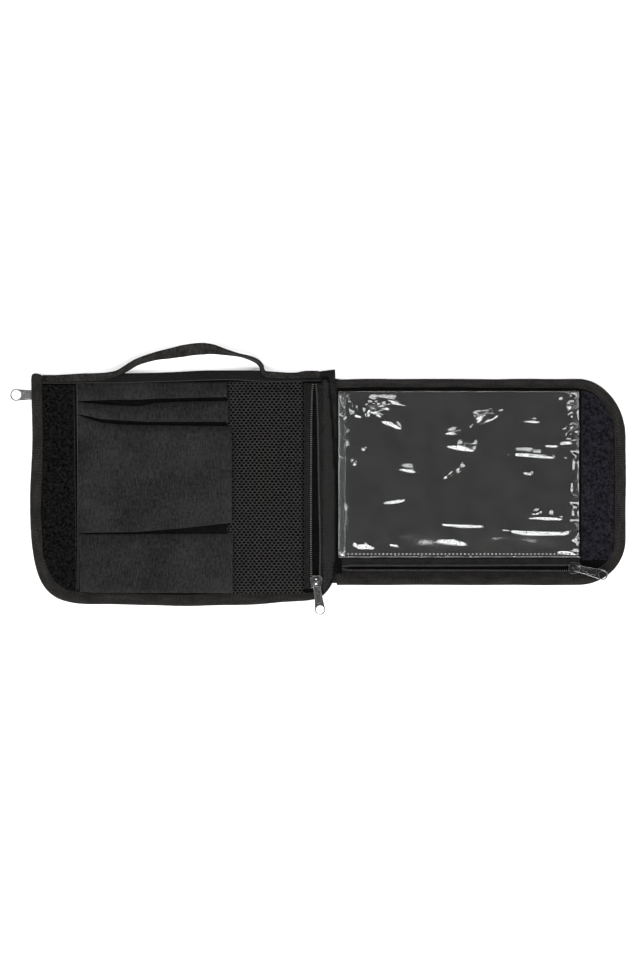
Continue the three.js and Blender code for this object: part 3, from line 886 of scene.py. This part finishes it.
def net(x0, x1, y0, y1, pitch_x, pitch_y, hole, height, thickness, keep=None):
    """Knitted net with staggered holes, laid over height(x, y)."""
    rows = int((y1 - y0) / pitch_y)
    cols = int((x1 - x0) / pitch_x)
    corners = np.array([[0.5, -1 / 3], [0.5, 1 / 3], [0, 2 / 3], [-0.5, 1 / 3],
                        [-0.5, -1 / 3], [0, -2 / 3]]) * [pitch_x, pitch_y]
    lift = {"crest": 0.2, "hole": 0.0, "under": -thickness, "low": -thickness - 0.05}
    table, points, faces = {}, [], []

    def vertex(x, y, level):
        key = (round(x, 2), round(y, 2), level)
        if key not in table:
            table[key] = len(points)
            points.append([x, y, lift[level]])
        return table[key]

    for r in range(rows):
        for c in range(cols - (r % 2)):
            cx = x0 + pitch_x * (c + 0.5 + 0.5 * (r % 2))
            cy = y0 + pitch_y * (r + 0.5)
            if keep and not keep(cx, cy):
                continue
            outer, below, inner, under = (
                [vertex(cx + dx * share, cy + dy * share, level) for dx, dy in corners]
                for level, share in (("crest", 1), ("low", 1), ("hole", hole), ("under", hole))
            )
            for j in range(6):
                k = (j + 1) % 6
                faces += [[a[j], a[k], b[k], b[j]]
                          for a, b in ((outer, inner), (inner, under), (under, below))]
    points = np.array(points)
    wobble_x, wobble_y = Noise(71, 9), Noise(72, 9)
    px = points[:, 0] + 0.18 * wobble_x(points[:, 0], points[:, 1])
    py = points[:, 1] + 0.18 * wobble_y(points[:, 0], points[:, 1])
    pz = points[:, 2] + height(px, py)
    return np.column_stack([px, py, pz]), faces, None


# The outer edge of the rounded fold beyond the net pocket's zip: Y and X, bottom to top.
FOLD_EDGE = [(-97, 133), (-93, 137), (-88, 140.6), (-81, 143), (-64, 144.6), (-14, 145),
             (20, 144.3), (54, 142.6), (80, 140.5), (104, 138.3)]
FOLD_START, FOLD_LEVEL = 130.9, 8.3
NET_LEFT = 43.0  # where the net's sewn left end begins
TAPE_SEAM_LEVEL = 8.78


def fold_edge(y):
    return np.interp(y, *zip(*FOLD_EDGE))


def fold_height(x, y):
    """The rounded fold's top surface."""
    t = np.clip((x - (fold_edge(y) - 3.4)) / 3.4, 0, 1)
    wave = Noise(77, 20, 26)
    rise = 0.35 * np.sin(np.clip((x - FOLD_START) / 9, 0, 1) * math.pi)
    return FOLD_LEVEL - 4.1 + 3.9 * np.sqrt(1 - t * t) + rise * (1 - t) + 0.15 * wave(x, y)


def mesh_pocket():
    """The net pocket, its side strip beyond the zip, and the stitches along the tape edges that hold
    them.
    """
    (_, y0, _), (_, y1, _) = span("mesh_panel")
    x0, x1 = NET_LEFT, span("mesh_zip_tape_left")[0][0]
    soft, fine = Noise(75, 40, 55), Noise(76, 12, 16)

    def height(x, y):
        rise = smooth(x, 50, 66) * (1 - smooth(x, 104, 116) * 0.25)
        ends = smooth(y - y0, 0, 9) * smooth(y1 - y, 0, 9)
        slack = 0.42 * soft(x, y) + 0.16 * fine(x, y)
        return MAIN_FLOOR + 0.45 + (3.0 + slack) * rise * (0.25 + 0.75 * ends)

    shape = net(x0, x1 + 2.2, y0 - 1, y1 + 3.0, 4.0, 2.46, 0.68, height, 0.25)
    made = piece("mesh_net", shape, "main_panel", "mesh", "mesh", ("mesh_panel",))

    y = np.arange(-96.5, 104.1, 1.6)
    t = np.linspace(0, 1, 22)
    reach = np.where(t < 0.5, t * 1.15, 0.575 + 0.425 * np.sin((t - 0.5) * math.pi))
    x, grid_y = between(np.full(len(y), FOLD_START), fold_edge(y), y, reach)
    surface = np.stack([x, grid_y, fold_height(x, grid_y)], -1)
    piece("mesh_side_cloth", shell(surface, 0.5), "main_panel", "lining", "mesh",
          ("mesh_side_strip",))
    shape = net(FOLD_START + 0.4, 145.5, -95, 101, 2.7, 1.66, 0.62,
                lambda px, py: fold_height(px, py) + 0.22, 0.15,
                keep=lambda px, py: px < fold_edge(py) - 2.2)
    piece("mesh_side_net", shape, "main_panel", "mesh", "mesh")
    for side, x in (("left", 116.1), ("right", 131.6)):
        ends = [[x, y[0] + 5, TAPE_SEAM_LEVEL], [x, y[-1] - 4, TAPE_SEAM_LEVEL]]
        sew("mesh_tape_stitches_" + side, ends, "main_panel", "zip_tape", 2.4, (1.7, 0.5, 0.4))


# ---- Zips ----


COIL_PITCH = 1.92


def zip_rows(prefix, sides, body, axis, looks, gaps, face=1.0, tooth=(2.3, 0.84, 1.3)):
    """Both tapes and coils of an open zip along X (axis 0) or Y (1). gaps holds each row's
    distance from the middle at t along it, and face tells whether the zip is seen from above
    (1) or from below (-1)."""
    other = 1 - axis
    rows = [span(f"{prefix}_teeth_{side}") for side in sides]
    centre = (min(r[0][other] for r in rows) + max(r[1][other] for r in rows)) / 2
    for side, look, gap, (row_low, row_high) in zip(sides, looks, gaps, rows):
        tape_low, tape_high = span(f"{prefix}_tape_{side}")
        toward = 1.0 if row_low[other] > centre else -1.0

        def line(t, offset, z):
            points = np.full((len(t), 3), z)
            points[:, axis] = t
            points[:, other] = centre + toward * (gap(t) + offset)
            return points

        start, end = row_low[axis], row_high[axis]
        t = np.arange(start + 0.7, end - 0.3, COIL_PITCH)
        across = np.tile(np.eye(3)[other], (len(t), 1))
        coil = beads(line(t, 0, (row_low[2] + row_high[2]) / 2), across, tooth)
        piece(f"{prefix}_coil_{side}", coil, body, look, "zip_teeth", (f"{prefix}_teeth_{side}",))

        run = np.arange(start, end + 0.01, 2.0)
        near = line(run, 0.2, 0.0)[:, other]
        far = tape_high[other] if toward > 0 else tape_low[other]
        wide = np.linspace(0, 1, 7)
        level = (tape_low[2] + tape_high[2]) / 2 + 0.25
        surface = np.zeros((len(run), len(wide), 3))
        surface[..., axis] = run[:, None]
        surface[..., other] = near[:, None] + (far + toward * 0.6 - near)[:, None] * wide
        ripple = Noise(81 + len(prefix) + int(toward), 12, 30)
        surface[..., 2] = (level + 0.12 * ripple(run[:, None], surface[..., other])
                           - face * 0.25 * (1 - wide))
        if toward < 0:
            surface = surface[:, ::-1]
        if axis == 0:
            surface = surface.transpose(1, 0, 2)
        piece(f"{prefix}_cloth_{side}", shell(surface, 0.45), body, "tape", "zip_tape",
              (f"{prefix}_tape_{side}",))
        sew(f"{prefix}_sewing_{side}", line(run, 1.7, level + (0.2 if face > 0 else -0.65)), body,
            "zip_tape", COIL_PITCH, (1.3, 0.4, 0.35))


def rounded(points, radius):
    """An outline with its corners rounded."""
    points = np.asarray(points, float)
    made = []
    for before, at, after in zip(np.roll(points, 1, 0), points, np.roll(points, -1, 0)):
        a, b = before - at, after - at
        r = min(radius, np.linalg.norm(a) / 2.2, np.linalg.norm(b) / 2.2)
        start, end = at + unit(a) * r, at + unit(b) * r
        made += [(1 - t) ** 2 * start + 2 * t * (1 - t) * at + t * t * end
                 for t in np.linspace(0, 1, 5)]
    return np.array(made)


def slider_shape(h, crown=True):
    """A zip slider at the origin, moving along +Y: shield plates, side flanges and crown.
    h is half its thickness."""
    shield = rounded([[-4.0, -5.4], [4.0, -5.4], [5.3, 0.5], [5.3, 4.2], [2.6, 5.4], [-2.6, 5.4],
                      [-5.3, 4.2], [-5.3, 0.5]], 1.2)
    parts = [flat_shape([shield], h - 0.75, h, 0.2), flat_shape([shield], -h, -h + 0.75, 0.2)]
    for sign in (-1, 1):
        for level in (h - 0.7, 0.7 - h):
            lip = [[sign * 4.0, -5.0, level], [sign * 5.15, 0.6, level], [sign * 5.15, 3.9, level]]
            parts.append(rod(resample(lip, 1.0), (0.32, 0.4), 8))
    wedge = rounded([[-1.0, -1.8], [1.0, -1.8], [2.4, 3.6], [0, 5.0], [-2.4, 3.6]], 0.7)
    parts.append(flat_shape([wedge], -h + 0.3, h - 0.3, 0.1))
    if crown:
        arch = [[0, y, h + z] for y, z in ((-3.4, -0.3), (-3.1, 1.3), (-1.6, 2.15), (0, 2.3),
                                           (1.6, 2.15), (3.1, 1.3), (3.4, -0.3))]
        arch = curve_through(arch, 0.45)
        strap = np.array([[-0.85, -0.3], [0.85, -0.3], [0.85, 0.12], [0.5, 0.34], [-0.5, 0.34],
                          [-0.85, 0.12]])[::-1]
        parts.append(sweep(arch, strap, lateral=np.tile([1.0, 0, 0], (len(arch), 1))))
    return join(*parts)


def pull_shape(length, thickness, root=3.3, ring=4.9, hole=3.7, slot=True):
    """A zip pull from its pivot along -Y: two arms, a ribbed neck and a ring."""
    centre = ring - length
    left = [(-root, 0.55), (-root, -9.0), (-root - 0.25, -13.0)]
    arc = ellipse((0, centre), (ring, ring), math.pi * 0.93, math.pi * 2.07, 1.0)
    loops = [np.vstack([left, arc, [(-x, y) for x, y in left[::-1]]]),
             ellipse((0, centre), (hole, hole), 0, -2 * math.pi, 0.8)[:-1]]
    if slot:
        loops.append(rounded([[-1.9, -0.6], [1.9, -0.6], [1.9, -4.3], [-1.9, -4.3]], 0.4))
    half = thickness / 2
    body = flat_shape(loops, -half, half, 0.24)
    ribs = [box_shape([0.9 - root, -y - 0.35, half - 0.05], [root - 0.9, 0.35 - y, half + 0.22], 0.1)
            for y in (6.6, 8.0, 9.4)]
    inset = rounded([[1.0 - root, -11.0], [root - 1.0, -11.0], [root - 0.9, centre + ring + 1.2],
                     [0.9 - root, centre + ring + 1.2]], 0.6)
    return join(body, *ribs, flat_shape([inset], half - 0.1, half + 0.16, 0.1))


def zips():
    """The three zips with their sliders and pulls."""
    flap_left = span("flap_zip_teeth_upper")[0][0]

    def mesh_left(y):
        return np.interp(y, (-92, -60, 0, 60, 90, 99), (4.3, 4.8, 4.9, 4.6, 3.9, 2.6))

    def mesh_right(y):
        return np.interp(y, (-92, -50, 0, 60, 88, 99), (3.2, 3.6, 2.4, 1.5, 0.6, -0.6))

    def flap_gap(x):
        return 1.15 + smooth(x, flap_left, flap_left + 8) + 0.4 * smooth(x, 250, 340)

    def back_gap(x):
        return 3.9 + 0 * x

    dark = ("teeth_dark", "teeth_dark")
    # The mesh zip's left row takes the lighter teeth as painted highlight; its right row keeps the coils'
    # darker colour.
    zip_rows("mesh_zip", ("left", "right"), "main_panel", 1, ("teeth", "teeth_dark"),
             (mesh_left, mesh_right))
    zip_rows("flap_zip", ("lower", "upper"), "flap", 0, dark, (flap_gap, flap_gap))
    zip_rows("back_zip", ("lower", "upper"), "main_panel", 0, dark, (back_gap, back_gap),
             face=-1.0, tooth=(2.1, 1.0, 0.75))

    half, pivot = 1.7, 2.6  # half a slider's thickness, and its pull's height over its middle
    # rim is the look of the side faces, lighter than the body: painted highlight along the edges of the
    # sliders and pulls
    for name, turn, lean, look, rim, slot in (
        ("mesh_zip", 0, 8, "gunmetal", "nickel", "slider_nickel"),
        ("flap_zip", 90, -14, "black", "gunmetal", "slider_dark"),
    ):
        low, high = span(name + "_slider")
        centre = np.array([*(low + high)[:2] / 2, low[2] + half])
        piece(name + "_slider_metal", placed(slider_shape(half), centre, turn), name + "_slider",
              look, slot, (name + "_slider",), 35, rim)
        pin = rod(resample([[-2.9, 0, 0], [2.9, 0, 0]], 0.8), 0.42, 8)
        shape = placed(join(pull_shape(31, 1.0), pin), centre + [0, 0, pivot], turn + lean)
        piece(name + "_pull_metal", shape, name + "_pull", look, "pull_metal", (name + "_pull",),
              35, "rim")

    low, high = span("back_zip_slider")
    piece("back_zip_slider_metal", placed(slider_shape(1.1, crown=False), (low + high) / 2, -90),
          "back_zip_slider", "gunmetal", "slider_dark", ("back_zip_slider",), 35)
    low, high = span("back_zip_pull")
    at = [high[0] - 0.5, (low[1] + high[1]) / 2, (low[2] + high[2]) / 2]
    # the pull's side faces take the rim look: painted highlight along its edges
    piece("back_zip_pull_metal", placed(pull_shape(30, 0.7, 4.5, 5.7, 4.4, slot=False), at, -90),
          "back_zip_pull", "nickel", "pull_metal", ("back_zip_pull",), 35, "rim")


# ---- Flap: backing, clear pocket ----


def flap_pockets():
    """The zipped pocket's front, and the clear pocket that is sewn over it."""
    (x0, y0, _), (x1, y1, top) = span("flap_pocket_backing")
    x, y = np.meshgrid(np.arange(x0, x1 + 0.1, 2.5), np.arange(y0, y1 + 3.4, 2.5))
    wave, fold = Noise(91, 50, 40), Noise(92, 90, 14)
    surface = np.stack([x, y, top - 0.1 + 0.14 * wave(x, y) + 0.08 * fold(x, y)], -1)
    made = piece("flap_backing_cloth", shell(surface, 0.4), "flap", "lining", "lining",
                 ("flap_pocket_backing",))
    low, high = span("clear_window")
    (x0, y0, _), (x1, y1, _) = low, high
    x, y = np.meshgrid(np.arange(x0, x1 + 0.1, 1.0), np.arange(y0, y1 + 0.1, 1.0))
    surface = np.stack([x, y, vinyl_height(x, y, low, high)], -1)
    made = piece("clear_window_vinyl", shell(surface, 0.3), "flap", "vinyl", "clear_vinyl",
                 ("clear_window",))
    x, y = np.meshgrid(np.linspace(x0 + 0.3, x0 + 6.6, 4), np.arange(y0 + 1, y1, 4.0))
    hem = np.stack([x, y, 3.95 + 0.03 * wave(x, y)], -1)
    piece("clear_window_hem", shell(hem, 0.2), "flap", "vinyl", "clear_vinyl")
    seam_y, seam_z = y0 + 3.0, 5.3
    sew("window_stitches", [[x0 + 4, seam_y, seam_z], [x1 - 1, seam_y, seam_z]], "flap",
        "clear_vinyl", 3.6, (1.7, 1.4, 0.7), "pale_thread")
    edge_y, edge_z = y0 + 0.1, 4.3
    edge = resample([[x0 + 1, edge_y, edge_z], [x1, edge_y, edge_z]], 2)
    edge[:, 1] += 0.25 * Noise(95, 20)(edge[:, 0], 0 * edge[:, 0])
    piece("window_cut_edge", rod(edge, (0.6, 0.32), 8), "flap", "raw_edge", "clear_vinyl")


# Creases of the clear film: start, end (X and Y of each), bow to the left of the way,
# height, half width.
CREASES = [
    (148, 86, 154, 74, 1.5, 0.7, 1.6), (157, 89, 163, 70, -1.5, 0.8, 1.8),
    (156, 70.5, 169.5, 66.5, 0.8, 0.7, 1.5), (148, 59.5, 159, 69.5, 1, 0.6, 1.5),
    (169, 79.7, 191.6, 61.5, 1.5, 0.8, 1.7), (171, 82.7, 205.7, 66.5, 2, 0.8, 1.7),
    (175, 86.7, 216, 74.6, 2, 0.7, 1.8), (171, 73.6, 177, 61.5, 1, 0.6, 1.5),
    (167, 36, 173.5, 39, 0.3, 0.5, 1.2), (147.5, 20, 152.5, 22, 0, 0.6, 1.1),
    (260, 54.5, 302.5, 71.6, 2, 1.0, 2.6), (242, 41.3, 282, 44.4, -1.5, 0.8, 2),
    (240, 51.4, 264, 53.4, 1, 0.7, 1.6), (252, 38.3, 278, 35.3, 1, 0.7, 1.6),
    (240, 9, 272, 25, 1.5, 1.0, 2.4), (314.6, 16, 328, 13.7, 0.5, 0.6, 1.3),
    (292, 33, 363, 26.4, 2.5, 0.95, 1.7), (314.6, -23.6, 353, -22.4, 1, 0.75, 1.4),
    (315, -26.6, 364, -28.6, 1.5, 0.7, 1.3), (232, -30.3, 288.4, -33.7, -1, 0.7, 1.5),
    (288, -35.7, 371, -39.3, -2, 0.75, 1.5), (351, 54.4, 370, 61.5, 1.5, 0.8, 1.5),
    (353, 49.4, 365.5, 57, -1, 0.7, 1.4), (355, 67, 371, 79.6, 2, 0.8, 1.6),
    (356, 73.6, 370, 80.7, 1, 0.75, 1.4), (349, 88.7, 370, 86.7, 0.5, 0.6, 1.3),
    (157.3, -50.4, 186.5, -57.0, 1.8, 1.3, 2.4), (160, -47.4, 171.4, -57.5, 1, 1.1, 2),
    (191.6, -50.4, 205.7, -53.9, 0.6, 0.65, 1.3), (236, -47, 268.2, -51.4, 1.6, 0.9, 2),
    (346, -59.0, 371, -61.0, 0.8, 0.6, 1.3), (147, 33, 152, 34.5, 0, 0.5, 1.1),
    (147, 11, 151, 12, 0, 0.5, 1.1), (147, -7, 151.5, -6, 0, 0.5, 1.1), (159, 24, 163.5, 25, 0, 0.5, 1.2),
    (147, 45, 153, 47, 0, 0.5, 1.1), (366, -2, 371, -1.2, 0, 0.5, 1.1), (366, -12, 371, -11, 0, 0.5, 1.1),
    (366.5, -18, 371, -17.5, 0, 0.5, 1.1), (365, -33, 371, -32, 0, 0.5, 1.1),
    (333, 41, 353, 40, 0.5, 0.6, 1.3), (312.6, 63.5, 339, 62.5, 0.4, 0.6, 1.2),
    (196, 20, 226, 14, 1.2, 0.6, 1.6), (182, -12, 214, -8, -1, 0.6, 1.6),
    (164, 68, 206, 82, 2.0, 1.0, 2.6), (176, 66, 181, 89, -1.0, 0.9, 2.4),
    (182, 66, 210, 55, 1.0, 0.9, 2.2), (345, 41.5, 371, 45, 0.8, 0.7, 1.4),
    (147, 84, 162, 90.5, -1.0, 0.8, 1.8), (262, 62, 306, 76, 1.5, 0.9, 2.4),
]


# Small puckers right at the seams, and the bright curl at the low right corner.
PUCKERS = [
    (347, -57.8, 371.5, -60.4, 1.2, 0.75, 1.5), (147, -58.6, 153, -61.6, 0.5, 0.6, 1.4),
    (147.6, 89, 151.6, 77, 1.2, 0.6, 1.3), (148, 72, 150.5, 66, 0.4, 0.5, 1.1),
    (369.6, 64, 370.8, 48, 0.4, 0.4, 0.9), (348, 83, 361, 87, 0.6, 0.6, 1.3),
    (147.4, 52, 150.4, 47.5, 0, 0.45, 1.0), (147.6, 31, 151.5, 28.6, 0, 0.5, 1.1),
]


def crease(x, y, x0, y0, x1, y1, bow, tall, wide):
    """A soft ridge along a bowed line, fading at its ends and gentler on its far side."""
    length = math.hypot(x1 - x0, y1 - y0)
    way_x, way_y = (x1 - x0) / length, (y1 - y0) / length
    s = ((x - x0) * way_x + (y - y0) * way_y) / length
    off = (y - y0) * way_x - (x - x0) * way_y - bow * 4 * s * (1 - s)
    taper = smooth(s, -0.02, 0.45) * (1 - smooth(s, 0.5, 1.02))
    reach = np.where(off * (1 if x1 >= x0 else -1) > 0, 2.6 * wide, wide)
    return 1.8 * tall * np.exp(-((off / reach) ** 2)) * taper


def vinyl_height(x, y, low, high):
    """The clear pocket's film: pulled down at three seams, with creases and puckers."""
    left, right, bottom = x - low[0], high[0] - x, y - low[1]
    pull = 8 + 4.5 * Noise(207, 40, 13)(0 * x, y)
    sewn = smooth(left, 0, 17) * smooth(right / np.clip(pull, 3, 14), 0, 1) * smooth(bottom, 1.5, 30)
    z = 6.8 + 0.5 * Noise(201, 75, 60)(x, y) + 0.12 * Noise(202, 30, 12)(x, y)
    uneven = 1 + 0.3 * Noise(208, 13, 8)(x, y)
    z = z + uneven * sum(crease(x, y, *line) for line in CREASES)
    z = z + 0.1 * Noise(204, 30, 7.5)(x, y) * np.exp(-left / 9)
    z = z + 0.18 * Noise(205, 24, 8)(x, y) * np.exp(-right / 9)
    z = z + 0.2 * Noise(206, 9, 20)(x, y) * np.exp(-bottom / 6)
    base = 4.25
    return base + (z - base) * (0.04 + 0.96 * sewn) + sum(crease(x, y, *line) for line in PUCKERS)


# ---- Spine and handle ----


def spine():
    """The folding cloth between the halves, with its slack pushed into a soft crease."""
    (x0, y0, _), (x1, y1, _) = span("spine")
    x, y = np.meshgrid(np.linspace(x0 - 3.2, x1 + 2.6, 36), np.arange(y0 + 0.5, y1 + 6.6, 2.5))
    t = (x - x0) / (x1 - x0)
    z = 2.55 - 1.95 * smooth(t, 0.2, 1.1)
    z = z + 1.1 * np.exp(-(((t - 0.42) / 0.24) ** 2))
    z = z + 0.12 * Noise(97, 8, 40)(x, y) * np.exp(-(((t - 0.5) / 0.6) ** 2))
    made = piece("spine_cloth", shell(np.stack([x, y, z], -1), 0.5), None, "outer",
                 "outer_fabric", ("spine",))
    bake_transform(made)


# The handle's middle line: x, y, z, the width seen from above, and the webbing's own width
# (less where it is tucked into the seam).
HANDLE = [
    (-123.6, 102.2, 7.0, 5.7, 5.8), (-108, 102.9, 7.1, 6.2, 6.3), (-88, 103.6, 7.2, 7.0, 7.2),
    (-74, 104.1, 7.4, 7.0, 7.6), (-64, 105.4, 7.7, 6.2, 8.6), (-57, 107.5, 7.7, 5.6, 10),
    (-50, 111.6, 7.7, 5.6, 11), (-43, 115.9, 7.8, 5.8, 11), (-36, 119.0, 8.0, 6.2, 11),
    (-23, 122.9, 8.4, 7.4, 11), (-10, 125.3, 8.8, 9.6, 11), (3, 127.8, 9.1, 10.8, 11),
    (16, 129.6, 9.2, 11, 11), (29, 129.5, 8.9, 9.8, 11), (42, 126.7, 8.4, 5.8, 11),
    (55, 123.9, 7.9, 2.9, 11), (64, 121.5, 7.7, 3.8, 11), (71, 118.4, 7.7, 4.5, 11),
    (75, 114.2, 7.7, 4.6, 10.5), (76.2, 109.6, 7.8, 4.8, 8.5), (79.5, 106.4, 7.6, 5.4, 6.6),
    (88, 105.7, 7.4, 5.6, 5.8), (98, 105.3, 7.4, 5.3, 5.5), (108, 105.4, 7.4, 5.3, 5.5),
    (114, 106.3, 7.4, 5.8, 6.0), (121, 106.5, 7.4, 5.9, 6.0), (129.5, 106.4, 7.4, 5.8, 5.9),
]


def handle():
    """The webbing grab handle: sewn flat along the top edge, twisting where it rises."""
    thick = 1.9
    data = curve_through(HANDLE, 0.4)
    path, seen, width = data[:, :3], data[:, 3], data[:, 4]
    # a strip of this width and thickness looks as wide as seen when it is tilted by:
    diagonal = np.hypot(width, thick)
    tilt = np.arctan2(thick, width) + np.arccos(np.clip(seen / diagonal, 0.02, 1))
    tilt = np.clip(tilt - 2 * np.arctan2(thick, width) * (seen > 0.97 * width), 0, 1.5)
    tilt = soften(tilt, 12)[:, None]
    tangent = unit(np.gradient(path, axis=0))
    flat = to_left(tangent)
    lateral = flat * np.cos(tilt) + np.cross(tangent, flat) * np.sin(tilt)
    profile = np.array([
        [-1, -0.5], [-0.93, -1], [0, -0.94], [0.93, -1], [1, -0.5], [1, 0.5], [0.93, 1],
        [0.72, 1.08], [0.5, 0.98], [0, 0.9], [-0.5, 0.98], [-0.72, 1.08], [-0.93, 1], [-1, 0.5],
    ])[::-1]
    s = along(path)
    rib = 0.5 - 0.5 * np.cos(2 * math.pi * s / 1.6)
    ends = np.sqrt(np.clip(np.minimum(s, s[-1] - s) / 1.2 + 0.1, 0, 1))
    sections = profile[None] * np.stack([
        (width / 2 + 0.08 * rib) * ends, (thick / 2 + 0.06 * rib) * ends
    ], 1)[:, None]
    made = piece("handle_webbing", sweep(path, sections, lateral=lateral), None, "webbing",
                 "webbing", ("handle_strap", "handle_end_left", "handle_end_right"), 60)
    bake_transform(made)
    for name, x0, x1, y0, y1, level in (
        ("left", -122, -78, 105.2, 106.0, 8.12), ("right", 84, 126, 104.2, 104.8, 8.38)
    ):
        sew("handle_stitches_" + name, [[x0, y0, level], [x1, y1, level + 0.1]], "main_panel",
            "webbing", 2.8, (1.9, 0.6, 0.5))


# ---- Table, light and camera ----


def stage():
    """The pale table."""
    size, level = 6.0, -0.0002
    mesh = bpy.data.meshes.new("table")
    corners = [(-size, -size, level), (size, -size, level), (size, size, level),
               (-size, size, level)]
    mesh.from_pydata(corners, [], [(0, 1, 2, 3)])
    look = Look("table_white", Roughness=0.9, Specular_IOR_Level=0.1)
    tone = look.noise(2.0, 2)
    look.set("Base Color", look.ramp(tone, (0.3, (0.88, 0.88, 0.885)), (0.7, (0.9, 0.9, 0.9))))
    mesh.materials.append(look.material)
    add("table", mesh)


MIDDLE = Vector((0.13, 0.0, 0.0))  # of the open case


def lamp(name, location, size, power):
    """A soft white lamp aimed at the case."""
    data = bpy.data.lights.new(name, "AREA")
    data.shape, data.size, data.size_y = "RECTANGLE", *size
    data.energy = power
    made = add(name, data)
    made.location = location
    made.rotation_euler = (MIDDLE - made.location).to_track_quat("-Z", "Y").to_euler()


def lights():
    world = bpy.data.worlds.new("studio")
    bpy.context.scene.world = world
    world.use_nodes = True
    background = world.node_tree.nodes["Background"]
    background.inputs["Color"].default_value = (1, 1, 1, 1)
    background.inputs["Strength"].default_value = 0.40
    lamp("key", (0.1, -1.75, 1.65), (1.9, 1.8), 114)
    lamp("strip", (0.15, -0.9, 1.9), (1.6, 0.3), 10)
    lamp("fill", (0.15, 1.7, 1.6), (1.9, 1.0), 36)
    lamp("side_right", (1.45, 0.1, 1.7), (0.6, 1.0), 13)
    lamp("side_left", (-1.2, 0.1, 1.7), (0.6, 1.0), 13)


def camera():
    """Straight above, a little right of the main half."""
    data = bpy.data.cameras.new("camera")
    made = add("camera", data)
    data.sensor_width = 36
    data.lens = 72.6
    made.location = (0.1295, 0.0084, 1.8)
    bpy.context.scene.camera = made
    settings = bpy.context.scene.view_settings
    settings.view_transform = "Standard"
    settings.look = "None"


camera()
stage()
lights()
ground_sheets()
back_pocket()
bindings()
top_band()
pocket_side_seam()
closure()
pockets()
mesh_pocket()
zips()
flap_pockets()
spine()
handle()
